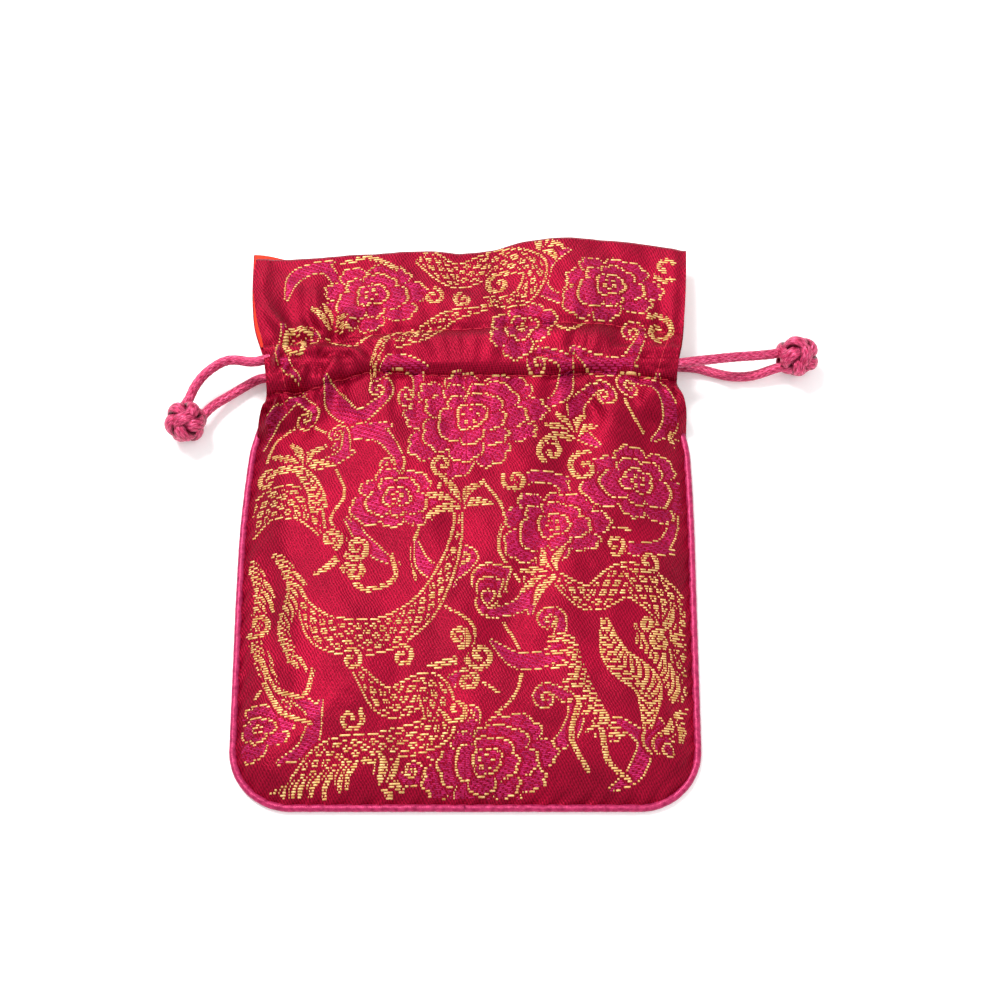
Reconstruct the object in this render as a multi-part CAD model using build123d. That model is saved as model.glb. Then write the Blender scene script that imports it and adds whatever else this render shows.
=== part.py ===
from build123d import *

import math
import os

# Drawstring dice bag: a lined brocade pouch with piped seams, drawn shut by two opposed cords.
# The empty bag lies on its back panel. Millimetres, +Z up, +Y towards the mouth.
# The origin is the middle of the pouch's footprint, on the surface it lies on.

# Pouch
POUCH_WIDTH = 112.0  # over the piping
POUCH_LENGTH = 145.0
CORNER_RADIUS = 15.0  # bottom corners, over the piping
SLIT_LENGTH = 45.5  # open side slit, mouth down to the top of the seam
HEADER_HEIGHT = 24.3  # mouth down to the upper casing stitch
CASING_HEIGHT = 11.6  # between the two casing stitches
HEADER_HALF_WIDTH = 55.0
SEAM_INSET = 2.0  # cloth edge, in from the outside of the piping
DOME_RUN = 16.0  # how far in the front panel keeps rising from the seam

# Cloth thicknesses, and the room that the layers leave
BROCADE = 0.5
LINING = 0.3
MOUTH_GAP = 4.7  # between the two linings where the bag is slack at the neck
CORD_ROOM = 0.3  # clearance each side of a cord in its casing
THREAD = 0.3

# Piping
PIPING_DIAMETER = 1.8
PIPING_CORE_DIAMETER = 1.1
FLANGE_WIDTH = 3.0

# Drawstrings
CORD_DIAMETER = 2.5
KNOT_DIAMETER = 10.0
LANE_PITCH = 3.2  # the two cords lie side by side in each casing
TURN_START_X = 44.0  # where a cord leaves its casing to cross to the other panel
EXIT_X = 52.0  # just inside the casing's open end, where the free loop starts

# Heights of the layers, from the surface up
CASING_DEPTH = CORD_DIAMETER + 2 * CORD_ROOM
BACK_LINING_Z = BROCADE
BACK_ROOF_Z = BROCADE + CASING_DEPTH
FLANGE_Z = BACK_LINING_Z + LINING
FRONT_BASE_Z = FLANGE_Z + LINING
FRONT_LINING_Z = BACK_ROOF_Z + LINING + MOUTH_GAP
HEADER_Z = FRONT_LINING_Z + LINING
TOP_Z = HEADER_Z + CASING_DEPTH + BROCADE
BACK_CORD_Z = BROCADE + CASING_DEPTH / 2
FRONT_CORD_Z = HEADER_Z + CASING_DEPTH / 2

# Stations along the pouch
MOUTH_Y = POUCH_LENGTH / 2
BOTTOM_Y = -POUCH_LENGTH / 2
SLIT_Y = MOUTH_Y - SLIT_LENGTH
NECK_Y = SLIT_Y + 7.0  # from here up the front panel spans the full width
UPPER_STITCH_Y = MOUTH_Y - HEADER_HEIGHT
LOWER_STITCH_Y = UPPER_STITCH_Y - CASING_HEIGHT
STITCH_LAND = 0.3  # cloth pressed flat each side of a stitch line
CASING_BOTTOM_Y = LOWER_STITCH_Y + STITCH_LAND + BROCADE
CASING_TOP_Y = UPPER_STITCH_Y - STITCH_LAND - BROCADE
LOW_LANE_Y = CASING_BOTTOM_Y + 1.8
HIGH_LANE_Y = LOW_LANE_Y + LANE_PITCH
LINING_NOTCH_X = 42.8  # the linings stop here in the casing, where the brocade hem takes over

POUCH_HALF_WIDTH = POUCH_WIDTH / 2
SEAM_HALF_WIDTH = POUCH_HALF_WIDTH - SEAM_INSET
PIPING_X = POUCH_HALF_WIDTH - PIPING_DIAMETER / 2
PIPING_Z = FLANGE_Z + LINING / 2
LINING_BASE_INSET = SEAM_INSET + 1.1  # the front lining stands inside the front brocade's edge
LINING_DOME_RUN = 14.0
SLIT_HEM_X = 51.0
THREAD_GROOVE = 0.5
SEAM_STITCH_INSET = 4.0
SEAM_STITCH_DEPTH = 0.2
SEAM_STITCH_Z = FRONT_BASE_Z - SEAM_STITCH_DEPTH
BACK_STITCH_Z = 0.1  # clear of the surface, so the cloth takes the weight


def tongue(inset, top_y, radius):
    """Flat outline of the sewn part of the pouch, drawn in all round by inset."""
    half = POUCH_HALF_WIDTH - inset
    bottom = BOTTOM_Y + inset
    corners = [(-half, top_y), (-half, bottom), (half, bottom), (half, top_y)]
    face = make_face(Polyline(*corners, close=True))
    return fillet(face.vertices().group_by(Axis.Y)[0], radius)


def slab(x_half, y_low, y_high, z_low, z_high):
    """Box across the pouch, centred on its middle line."""
    box = Box(2 * x_half, y_high - y_low, z_high - z_low)
    return Pos(0, (y_low + y_high) / 2, (z_low + z_high) / 2) * box


def flat_panel(z_low, thickness):
    """A whole panel lying flat: the sewn outline, with the wider header above the slits."""
    body = extrude(tongue(SEAM_INSET, SLIT_Y, CORNER_RADIUS - SEAM_INSET), amount=thickness)
    header = slab(HEADER_HALF_WIDTH, SLIT_Y, MOUTH_Y, z_low, z_low + thickness)
    return Pos(0, 0, z_low) * body + header


def profile_across(points, x_half):
    """Extrude a closed outline drawn in the Y-Z plane across the pouch."""
    face = make_face(Plane.YZ * Polyline(*points, close=True))
    return Pos(-x_half, 0, 0) * extrude(face, amount=2 * x_half, dir=(1, 0, 0))


def hat_points(base_half, base_z, top_half, top_z):
    """Half-section of a dome: foot and shoulder on each side, right to left."""
    return [(base_half, base_z), (top_half, top_z), (-top_half, top_z), (-base_half, base_z)]


def dome_sheet(base_inset, run, top_z, thickness):
    """Cloth that rises from the seam to a flat top, then opens to full width at the neck."""
    angle = math.atan2(top_z - FRONT_BASE_Z, run)
    foot = thickness / math.sin(angle)
    shoulder = thickness * math.tan(angle / 2)
    base_half = POUCH_HALF_WIDTH - base_inset
    top_half = base_half - run

    def block(inset, z_high, extra_run):
        base = tongue(inset, SLIT_Y, CORNER_RADIUS - inset)
        top = tongue(inset + extra_run, SLIT_Y, CORNER_RADIUS / 3)
        return loft([Pos(0, 0, FRONT_BASE_Z) * base, Pos(0, 0, z_high) * top], ruled=True)

    outer = block(base_inset, top_z, run)
    inner = block(base_inset + foot, top_z - thickness, run + shoulder - foot)
    under_z = top_z - thickness
    hat = hat_points(base_half, FRONT_BASE_Z, top_half, top_z)
    hat += reversed(hat_points(base_half - foot, FRONT_BASE_Z, top_half - shoulder, under_z))
    flat = hat_points(HEADER_HALF_WIDTH, top_z, top_half, top_z)
    flat += reversed(hat_points(HEADER_HALF_WIDTH, under_z, top_half - shoulder, under_z))
    sections = []
    for y, outline in ((SLIT_Y, hat), (NECK_Y, flat)):
        corners = [(x, y, z) for x, z in outline]
        sections.append(make_face(Polyline(*corners, close=True)))
    return (outer - inner) + loft(sections, ruled=True)


def front_brocade():
    """Outer front panel: domed body, cord casing and header in one piece of cloth."""
    under = TOP_Z - BROCADE
    land_low = LOWER_STITCH_Y - STITCH_LAND
    land_high = LOWER_STITCH_Y + STITCH_LAND
    header_low = UPPER_STITCH_Y - STITCH_LAND
    header_top = HEADER_Z + BROCADE
    neck = [
        (NECK_Y, TOP_Z),
        (land_low, header_top),
        (land_high, header_top),
        (land_high, TOP_Z),
        (header_low, TOP_Z),
        (header_low, header_top),
        (MOUTH_Y, header_top),
        (MOUTH_Y, HEADER_Z),
        (CASING_TOP_Y, HEADER_Z),
        (CASING_TOP_Y, under),
        (CASING_BOTTOM_Y, under),
        (CASING_BOTTOM_Y, HEADER_Z),
        (land_low - STITCH_LAND, HEADER_Z),
        (NECK_Y, under),
    ]
    return dome_sheet(SEAM_INSET, DOME_RUN, TOP_Z, BROCADE) + profile_across(neck, HEADER_HALF_WIDTH)


def back_brocade():
    """Outer back panel, flat on the surface, grooved underneath where its stitches sink in."""
    panel = flat_panel(0, BROCADE)
    half = THREAD_GROOVE / 2
    deep = BACK_STITCH_Z + THREAD
    for y in (LOWER_STITCH_Y, UPPER_STITCH_Y):
        panel -= slab(HEADER_HALF_WIDTH, y - half, y + half, 0, deep)
    for side in (-1, 1):
        groove = slab(half, CASING_BOTTOM_Y - half, CASING_TOP_Y + half, 0, deep)
        panel -= Pos(side * SLIT_HEM_X, 0, 0) * groove
    return panel


def casing_notches(z_low, z_high):
    """Blocks that clear a lining out of the casing's open ends."""
    width = HEADER_HALF_WIDTH - LINING_NOTCH_X + 1
    block = slab(width / 2, CASING_BOTTOM_Y, CASING_TOP_Y, z_low, z_high)
    return [Pos(side * (LINING_NOTCH_X + width / 2), 0, 0) * block for side in (-1, 1)]


def front_lining():
    """Inner front panel, which also closes the front casing from inside."""
    neck = slab(HEADER_HALF_WIDTH, NECK_Y, MOUTH_Y, FRONT_LINING_Z, HEADER_Z)
    panel = dome_sheet(LINING_BASE_INSET, LINING_DOME_RUN, HEADER_Z, LINING) + neck
    for notch in casing_notches(FRONT_LINING_Z, HEADER_Z):
        panel -= notch
    return panel


def back_lining():
    """Inner back panel, raised over the back casing where the cords run under it."""
    panel = flat_panel(BACK_LINING_Z, LINING)
    panel -= slab(
        HEADER_HALF_WIDTH, CASING_BOTTOM_Y, CASING_TOP_Y, BACK_LINING_Z, BACK_LINING_Z + LINING
    )
    low, high = CASING_BOTTOM_Y - LINING, CASING_TOP_Y + LINING
    roof_top = BACK_ROOF_Z + LINING
    roof = slab(LINING_NOTCH_X, low, high, BACK_LINING_Z, roof_top)
    roof -= slab(LINING_NOTCH_X, CASING_BOTTOM_Y, CASING_TOP_Y, BACK_LINING_Z, BACK_ROOF_Z)
    return panel + roof


def piping_path():
    """Middle line of the piping: down one side, round the bottom and up the other."""
    end_y = SLIT_Y - THREAD
    bottom = BOTTOM_Y + PIPING_DIAMETER / 2
    corners = [(PIPING_X, end_y), (PIPING_X, bottom), (-PIPING_X, bottom), (-PIPING_X, end_y)]
    path = FilletPolyline(*corners, radius=CORNER_RADIUS - PIPING_DIAMETER / 2)
    return Pos(0, 0, PIPING_Z) * path


def tube(path, diameter):
    """Round rod of the given diameter along a path."""
    return sweep(Plane(origin=path @ 0, z_dir=path % 0) * Circle(diameter / 2), path=path)


def seam_band(outer_inset, width, z_low, thickness):
    """Flat strip that follows the seam."""
    end_y = SLIT_Y - THREAD
    strip = tongue(outer_inset, end_y, CORNER_RADIUS - outer_inset)
    strip -= tongue(outer_inset + width, end_y, CORNER_RADIUS - outer_inset - width)
    return Pos(0, 0, z_low) * extrude(strip, amount=thickness)


def piping_cover():
    """Satin strip wrapped round the piping core, with its flange caught in the seam."""
    core_radius = PIPING_CORE_DIAMETER / 2
    wall = PIPING_DIAMETER / 2 - core_radius
    flange_inset = PIPING_DIAMETER - wall / 2
    cover = tube(piping_path(), PIPING_DIAMETER)
    cover += seam_band(flange_inset, FLANGE_WIDTH + wall, FLANGE_Z, LINING)
    cover -= tube(piping_path(), PIPING_CORE_DIAMETER)
    groove_inset = SEAM_STITCH_INSET - THREAD_GROOVE / 2
    return cover - seam_band(groove_inset, THREAD_GROOVE, SEAM_STITCH_Z, SEAM_STITCH_DEPTH)


def side_seam_stitch():
    """Thread that closes the seam, sunk in the piping's flange."""
    inset = SEAM_STITCH_INSET - THREAD / 2
    return seam_band(inset, THREAD, SEAM_STITCH_Z, SEAM_STITCH_DEPTH)


def casing_stitch(y, z):
    """One row of casing stitching across the pouch."""
    reach = HEADER_HALF_WIDTH - 1
    return slab(reach, y - THREAD / 2, y + THREAD / 2, z, z + THREAD)


def slit_stitch(side, z):
    """Short row that holds the hem at one open end of a casing."""
    row = slab(THREAD / 2, CASING_BOTTOM_Y, CASING_TOP_Y, z, z + THREAD)
    return Pos(side * SLIT_HEM_X, 0, 0) * row


def drawstring(side):
    """The stretch of one cord inside the casings; side is -1 for the cord that pulls left.

    It runs along the front casing, turns round the far slit and comes back along the back one.
    The two cords swap lanes between the panels, so that their turns never meet.
    """
    front_y, back_y = (HIGH_LANE_Y, LOW_LANE_Y) if side < 0 else (LOW_LANE_Y, HIGH_LANE_Y)
    front = Vector(-side * TURN_START_X, front_y, FRONT_CORD_Z)
    back = Vector(-side * TURN_START_X, back_y, BACK_CORD_Z)
    reach = (front - back).length / 2
    tip = (front + back) / 2 - Vector(side * reach, 0, 0)
    exit_x = side * EXIT_X
    path = Line((exit_x, front_y, FRONT_CORD_Z), front) + ThreePointArc(front, tip, back)
    path += Line(back, (exit_x, back_y, BACK_CORD_Z))
    return tube(path, CORD_DIAMETER)


# Free loops, from the front casing's end through the knot and back to the back casing's end.
LEFT_LOOP = [
    (-EXIT_X, HIGH_LANE_Y, FRONT_CORD_Z),
    (-55.6, HIGH_LANE_Y, FRONT_CORD_Z),
    (-60.0, 41.2, 9.1),
    (-64.4, 38.4, 7.6),
    (-67.2, 34.8, 6.4),
    (-69.0, 31.4, 5.9),
    (-71.2, 28.8, 5.6),
    (-72.4, 26.5, 5.4),
    (-72.3, 24.2, 5.2),
    (-70.9, 22.6, 5.0),
    (-68.8, 22.4, 4.9),
    (-67.2, 23.8, 4.7),
    (-66.4, 26.3, 4.3),
    (-64.2, 30.2, 3.5),
    (-60.6, 34.0, 2.5),
    (-57.2, 37.0, 2.1),
    (-54.8, LOW_LANE_Y, BACK_CORD_Z),
    (-EXIT_X, LOW_LANE_Y, BACK_CORD_Z),
]
RIGHT_LOOP = [
    (EXIT_X, LOW_LANE_Y, FRONT_CORD_Z),
    (56.0, LOW_LANE_Y, FRONT_CORD_Z),
    (61.4, 40.8, 9.3),
    (67.2, 42.4, 7.7),
    (72.8, 43.3, 6.5),
    (78.0, 44.2, 5.8),
    (81.6, 45.8, 5.4),
    (83.9, 46.0, 5.2),
    (85.7, 44.8, 5.1),
    (86.3, 42.8, 5.0),
    (85.3, 40.9, 4.9),
    (83.3, 40.4, 4.8),
    (80.3, 41.6, 4.4),
    (76.6, 40.9, 3.5),
    (72.0, 39.5, 2.4),
    (66.6, 39.5, 1.8),
    (61.4, 40.9, 1.7),
    (56.6, HIGH_LANE_Y, BACK_CORD_Z),
    (EXIT_X, HIGH_LANE_Y, BACK_CORD_Z),
]
LEFT_KNOT = (-69.7, 25.6, KNOT_DIAMETER / 2)
RIGHT_KNOT = (83.2, 43.4, KNOT_DIAMETER / 2)
FILLET_SHARE = 0.45


def corner_radii(points):
    """Largest smooth radius at each inner point of a cord's route."""
    radii = []
    for before, here, after in zip(points, points[1:], points[2:]):
        first = Vector(*here) - Vector(*before)
        second = Vector(*after) - Vector(*here)
        shorter = min(first.length, second.length)
        half_turn = math.radians(first.get_angle(second) / 2)
        radii.append(FILLET_SHARE * shorter / math.tan(half_turn))
    return radii


def pull_loop(name, points):
    """Free loop of a drawstring, as straight runs joined by tangent arcs."""
    radii = corner_radii(points)
    path = FilletPolyline(*points, radius=radii)
    loop = tube(path, CORD_DIAMETER)
    expected = math.pi * (CORD_DIAMETER / 2) ** 2 * path.length
    print(f"{name}: length {path.length:.1f}, volume share {loop.volume / expected:.4f}")
    print("  radii", [round(radius, 1) for radius in radii])
    return loop


def button_knot(centre):
    """Ball knot that ends a drawstring, as its outer shape."""
    return Pos(*centre) * Sphere(KNOT_DIAMETER / 2)


def nodes():
    """Every node of the bag, by name."""
    stitch_z = HEADER_Z + BROCADE
    made = {
        "front_brocade": front_brocade(),
        "back_brocade": back_brocade(),
        "front_lining": front_lining(),
        "back_lining": back_lining(),
        "piping_cover": piping_cover(),
        "piping_cord": tube(piping_path(), PIPING_CORE_DIAMETER),
        "side_seam_stitch": side_seam_stitch(),
        "front_upper_casing_stitch": casing_stitch(UPPER_STITCH_Y, stitch_z),
        "front_lower_casing_stitch": casing_stitch(LOWER_STITCH_Y, stitch_z),
        "back_upper_casing_stitch": casing_stitch(UPPER_STITCH_Y, BACK_STITCH_Z),
        "back_lower_casing_stitch": casing_stitch(LOWER_STITCH_Y, BACK_STITCH_Z),
        "left_drawstring": drawstring(-1),
        "right_drawstring": drawstring(1),
        "left_pull_loop": pull_loop("left_pull_loop", LEFT_LOOP),
        "right_pull_loop": pull_loop("right_pull_loop", RIGHT_LOOP),
        "left_button_knot": button_knot(LEFT_KNOT),
        "right_button_knot": button_knot(RIGHT_KNOT),
    }
    for label, side in (("left", -1), ("right", 1)):
        made[f"front_{label}_slit_stitch"] = slit_stitch(side, TOP_Z)
        made[f"back_{label}_slit_stitch"] = slit_stitch(side, BACK_STITCH_Z)
    return made


def main():
    os.makedirs("parts", exist_ok=True)
    for name, solid in nodes().items():
        export_step(solid, f"parts/{name}.step")


main()
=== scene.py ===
import math

import bmesh
import bpy
import numpy as np
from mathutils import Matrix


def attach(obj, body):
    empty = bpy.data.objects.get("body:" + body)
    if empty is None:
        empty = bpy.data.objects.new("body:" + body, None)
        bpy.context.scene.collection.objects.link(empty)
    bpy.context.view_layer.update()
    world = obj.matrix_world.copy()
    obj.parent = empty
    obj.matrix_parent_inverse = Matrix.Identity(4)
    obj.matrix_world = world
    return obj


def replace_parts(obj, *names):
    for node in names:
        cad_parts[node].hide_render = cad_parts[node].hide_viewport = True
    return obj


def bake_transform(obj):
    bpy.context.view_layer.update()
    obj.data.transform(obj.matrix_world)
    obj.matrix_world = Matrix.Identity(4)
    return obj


# Looks of the drawstring dice bag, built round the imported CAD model.
# Shapes are worked out in millimetres in the CAD frame, and become metres as a mesh is made.

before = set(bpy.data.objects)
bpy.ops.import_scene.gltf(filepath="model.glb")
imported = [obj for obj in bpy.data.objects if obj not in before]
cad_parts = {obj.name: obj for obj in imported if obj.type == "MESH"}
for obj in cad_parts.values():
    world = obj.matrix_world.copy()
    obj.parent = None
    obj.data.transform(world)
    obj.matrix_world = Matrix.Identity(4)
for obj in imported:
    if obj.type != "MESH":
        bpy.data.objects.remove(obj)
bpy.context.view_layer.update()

MM = 0.001
TAU = 2 * math.pi

# Pouch, as in the CAD model
HALF_WIDTH = 56.0
BOTTOM_Y = -72.5
MOUTH_Y = 72.5
CORNER_RADIUS = 15.0
SEAM_INSET = 2.0
SLIT_Y = 27.0
LOWER_STITCH_Y = 36.6
UPPER_STITCH_Y = 48.2
PANEL_HALF = HALF_WIDTH - SEAM_INSET
FRONT_INSET = 0.8  # the front panel comes a little way over the piping
HEM_TOP_X = 52.4  # the hem of a slit leans in towards its foot
HEM_FOOT_X = 50.0
SEAM_STITCH_X = 52.0

# Drawstrings
CORD_DIAMETER = 2.5
HIGH_LANE_Y = 42.4
LOW_LANE_Y = 39.2
FRONT_CORD_Z = 10.45
BACK_CORD_Z = 2.05
TURN_START_X = 44.0
EXIT_X = 52.0
LOOP_START_X = 45.0  # where a free loop's piece takes over from the cord in the casing
LINING_NOTCH_X = 42.8
NOTCH_INSET = 0.6  # lining left beside each casing row at its notch

# Heights of the cloth, from the surface up
CLOTH = 0.3  # thickness of one layer as it shows
BACK_Z = 0.25  # underside of the back panel, clear of the surface by its floats
BACK_LINING_Z = 0.75
BACK_ROOF_RISE = 2.85
SEAM_Z = 1.7
BODY_RISE = 8.9
BODY_RUN = 12.0  # the front panel comes up from its seam over about this far
CASING_RISE = 2.0
STITCH_SINK = 0.9  # how far the casing rows draw the cloth down
HEADER_DROOP = 3.0
CORD_COVER = 0.75  # from a cord's surface up to the outer side of the cloth over it
LINING_GAP = 0.45

GROUND, GOLD, PINK = 0, 1, 2


# ---------------------------------------------------------------- numbers and curves


def smoothstep(low, high, value):
    """0 below low, 1 above high, smooth between."""
    t = np.clip((value - low) / (high - low), 0, 1)
    return t * t * (3 - 2 * t)


def bell(offset, width):
    """Smooth bump of height 1 round offset 0."""
    return np.exp(-((offset / width) ** 2))


def through(keys, values, at):
    """Smooth curve through the given values, level beyond its ends."""
    keys = np.asarray(keys, float)
    values = np.asarray(values, float)
    slopes = np.gradient(values, keys)
    at = np.clip(at, keys[0], keys[-1])
    left = np.clip(np.searchsorted(keys, at, side="right") - 1, 0, len(keys) - 2)
    span = keys[left + 1] - keys[left]
    t = (at - keys[left]) / span
    start = values[left] * (1 + 2 * t) * (1 - t) ** 2
    start += slopes[left] * span * t * (1 - t) ** 2
    end = values[left + 1] * t * t * (3 - 2 * t)
    return start + end + slopes[left + 1] * span * t * t * (t - 1)


def ripple_field(seed, count, shortest, longest):
    """Soft random ripples: a function of x and y with values of about -1 to 1."""
    random = np.random.default_rng(seed)
    heading = random.uniform(0, math.pi, count)
    wave = TAU / random.uniform(shortest, longest, count)
    phase = random.uniform(0, TAU, count)

    def field(x, y):
        total = 0
        for angle, number, shift in zip(heading, wave, phase):
            total = total + np.sin(number * (x * math.cos(angle) + y * math.sin(angle)) + shift)
        return total / math.sqrt(count)

    return field


def lengths_along(points):
    """Distance of each point along its line."""
    steps = np.linalg.norm(np.diff(points, axis=0), axis=1)
    return np.concatenate([[0], np.cumsum(steps)])


def respaced(points, step):
    """The same line with its points an even step apart."""
    along = lengths_along(points)
    at = np.linspace(0, along[-1], max(2, round(along[-1] / step) + 1))
    return np.stack([np.interp(at, along, points[:, axis]) for axis in range(3)], axis=1)


# ---------------------------------------------------------------- shape of the cloth

BROAD = ripple_field(3, 9, 26, 48)
MIDDLE = ripple_field(5, 12, 9, 17)
FINE = ripple_field(8, 14, 3.2, 6.0)
NECK_PHASE = ripple_field(11, 6, 16, 30)
PIPING_WOBBLE = ripple_field(13, 6, 5, 12)

# Stitch lines and mouth edge as the slack neck leaves them: across the pouch, then along it
LOWER_LINE = (
    [-54, -48, -40, -35, -29, -6, 18, 32, 42, 54],
    [31.4, 32.0, 33.0, 35.0, 36.5, 36.3, 36.2, 37.0, 36.4, 35.2],
)
UPPER_LINE = (
    [-54, -50, -42, -36, -30, -18, 2, 18, 37, 54],
    [44.2, 44.7, 46.3, 45.8, 46.4, 48.1, 48.9, 50.3, 50.4, 48.0],
)
MOUTH_LINE = (
    [-54, -42, -22, -10, -1, 6, 14, 24, 32, 44, 54],
    [70.3, 70.4, 71.6, 72.3, 71.8, 73.0, 75.2, 76.0, 75.7, 74.6, 72.8],
)
# Half-widths of the panels up the pouch, which draws in towards its neck
FRONT_LEFT_EDGE = (
    [-20, 0, 12, 20, 27, 32, 37, 43.5, 50, 54, 57.5, 61, 65, 73],
    [54, 53.6, 52.7, 51.8, 50.8, 49.4, 48.5, 49.1, 50.1, 51.3, 52.0, 52.5, 52.9, 52.6],
)
FRONT_RIGHT_EDGE = (
    [-20, 0, 14, 24, 29, 31.5, 34.5, 41, 49, 66, 73],
    [54, 54, 53.8, 53.6, 53.1, 52.5, 51.3, 51.4, 52.8, 54.2, 54.5],
)
BACK_LEFT_EDGE = (
    [-20, 0, 14, 24, 29, 35, 41, 47, 53, 60, 73],
    [54, 53.6, 52.6, 51.6, 50.8, 49.9, 50.3, 52.2, 54.1, 55.0, 55.2],
)
BACK_RIGHT_EDGE = (
    [-20, 0, 14, 24, 29, 35, 41, 49, 60, 73],
    [54, 54, 53.7, 53.2, 52.6, 51.8, 52.6, 54.4, 55.4, 55.6],
)
WARP_START_Y = 16.0
SOFTNESS = 0.12  # how gently cloth passes from one height to another over a cord
CORD_SEAT = 1.2  # how far below a cord's middle the cloth over it comes down
STITCH_GRIP = 1.5  # how far beside a stitch line the thread still draws the cloth down
# Folds of the neck under the casing, in the header and on the casing: height, pitch and shift
NECK_FOLDS = ((0.42, 7.6, 0.0), (0.36, 6.4, 1.3), (0.20, 4.6, 0.5))
STITCH_PUCKER = (0.13, 3.3)  # height and pitch of the puckers along the stitch lines
# The valley down the body, from below the casing's right end towards the middle
VALLEY_TOP = (30, 28)
VALLEY_FOOT = (8, -38)
VALLEY_DEPTH = 1.3
VALLEY_WIDTH = 5.5
RIDGE_RISE = 0.5  # of the low ridge at its left
RIDGE_OFF = 11
WRINKLE_REACH = 17
SEAM_PUCKER = (0.35, 5.5)  # height and pitch of the puckers along the seam
CALM_RUN = 5  # how far in from the seam the folds come up
SLIT_FREEDOM = 40  # added to the distance from the seam beside the slits, where none holds the cloth down
# The header's side edges: their turned-down rim and the welt of their hem
RIM_DROP = 0.2
WELT_RISE = 0.14
WELT_INSET = 2.2
MOUTH_DROP = 0.5  # how far the fold at the mouth edge rounds down
# Places that wrinkles fan out from, with their height and number
DRAWN_POINTS = ((-53, 38, 1.1, 9), (-36, 47, 1.0, 7), (54, 38, 0.7, 8), (29, 36, 0.6, 6))
# Round hollows beside the casing: depth, middle, and reach across and along
HOLLOWS = (
    (1.1, (-38, 29), (7, 5)),
    (1.3, (30, 31), (6, 4)),
    (1.6, (-36, UPPER_STITCH_Y), (2.4, 4.5)),
)


def inside_distance(x, y, inset=SEAM_INSET):
    """How far a point of the sewn pouch lies inside its outline."""
    radius = CORNER_RADIUS - inset
    past_side = np.abs(x) - (HALF_WIDTH - inset - radius)
    past_end = BOTTOM_Y + inset + radius - y
    corner = np.hypot(np.maximum(past_side, 0), np.maximum(past_end, 0))
    return radius - corner - np.minimum(np.maximum(past_side, past_end), 0)


def row_half(y, inset=SEAM_INSET):
    """Half the width of the sewn pouch at y."""
    radius = CORNER_RADIUS - inset
    past_end = np.clip((BOTTOM_Y + inset + radius - y) / radius, 0, 1)
    return HALF_WIDTH - inset - radius + radius * np.sqrt(1 - past_end**2)


def casing_shape(y):
    """Cross-section of a filled casing, 0 on its stitch lines and 1 on its top."""
    t = np.clip((y - LOWER_STITCH_Y) / (UPPER_STITCH_Y - LOWER_STITCH_Y), 0, 1)
    tube = np.sqrt(np.clip(1 - np.abs(2 * t - 1) ** 3.5, 0, 1))
    return tube * (1 - 0.28 * smoothstep(0.6, 0.95, t))


def near_stitches(y):
    """1 on the casing's stitch lines, falling to 0 beside them."""
    return bell(y - LOWER_STITCH_Y, STITCH_GRIP) + bell(y - UPPER_STITCH_Y, STITCH_GRIP)


def neck_folds(x, y):
    """Folds that the cords leave in the neck, strongest beside the stitch lines and at the left."""
    below = np.where(y < LOWER_STITCH_Y, bell(y - LOWER_STITCH_Y, 9), 0)
    above = np.where(y > UPPER_STITCH_Y, bell(y - UPPER_STITCH_Y, 7), 0)
    across = x + 2.2 * NECK_PHASE(x, 0.6 * y)
    folds = 0
    for share, (height, pitch, shift) in zip((below, above, casing_shape(y)), NECK_FOLDS):
        folds = folds + height * share * np.sin(TAU * across / pitch + shift)
    height, pitch = STITCH_PUCKER
    folds = folds + height * near_stitches(y) * np.sin(TAU * (x + 0.6 * NECK_PHASE(y, x)) / pitch)
    return folds * (0.75 + 1.0 * bell(x + 41, 13) + 0.5 * bell(x - 48, 9))


def soft_folds(x, y):
    """Hollows and valleys where the empty pouch sinks between its folds."""
    (top_x, top_y), (foot_x, foot_y) = VALLEY_TOP, VALLEY_FOOT
    t = np.clip((top_y - y) / (top_y - foot_y), 0, 1)
    off_valley = x - (top_x + (foot_x - top_x) * t)
    along = smoothstep(-44, -22, y) * (1 - smoothstep(26, 34, y))
    folds = -VALLEY_DEPTH * along * bell(off_valley, VALLEY_WIDTH)
    folds += RIDGE_RISE * along * bell(off_valley + RIDGE_OFF, 6)
    for depth, (middle_x, middle_y), (reach_x, reach_y) in HOLLOWS:
        folds -= depth * bell(x - middle_x, reach_x) * bell(y - middle_y, reach_y)
    folds -= 0.8 * bell(x + 4 + 0.5 * y, 7) * smoothstep(-50, -30, y) * (1 - smoothstep(0, 20, y))
    return folds


def drawn_wrinkles(x, y):
    """Wrinkles that fan out from the ends of the casing, where the cords draw the cloth together."""
    folds = 0
    for centre_x, centre_y, strength, count in DRAWN_POINTS:
        angle = np.arctan2(y - centre_y, x - centre_x)
        away = np.hypot(x - centre_x, y - centre_y)
        reach = smoothstep(1, 6, away) * bell(away, WRINKLE_REACH)
        folds = folds + strength * reach * np.sin(count * angle + 0.12 * away + MIDDLE(x, y))
    return folds


def front_rest_height(x, y):
    """Height of the front panel without its casing's bulge."""
    inside = inside_distance(x, y) + SLIT_FREEDOM * smoothstep(24, 35, y)
    z = SEAM_Z + BODY_RISE * (1 - np.exp(-inside / BODY_RUN))
    calm = 1 - np.exp(-((np.maximum(inside, 0) / CALM_RUN) ** 2))
    z = z + calm * (0.6 * BROAD(x, y) + 0.2 * MIDDLE(x, y) + soft_folds(x, y) + drawn_wrinkles(x, y))
    rise, pitch = SEAM_PUCKER
    pucker = np.exp(-inside / 3.5) * (1 - calm)
    z = z + rise * pucker * np.sin(TAU * (x - y + MIDDLE(x, y)) / pitch)
    return z - HEADER_DROOP * smoothstep(51, 75, y)


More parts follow.
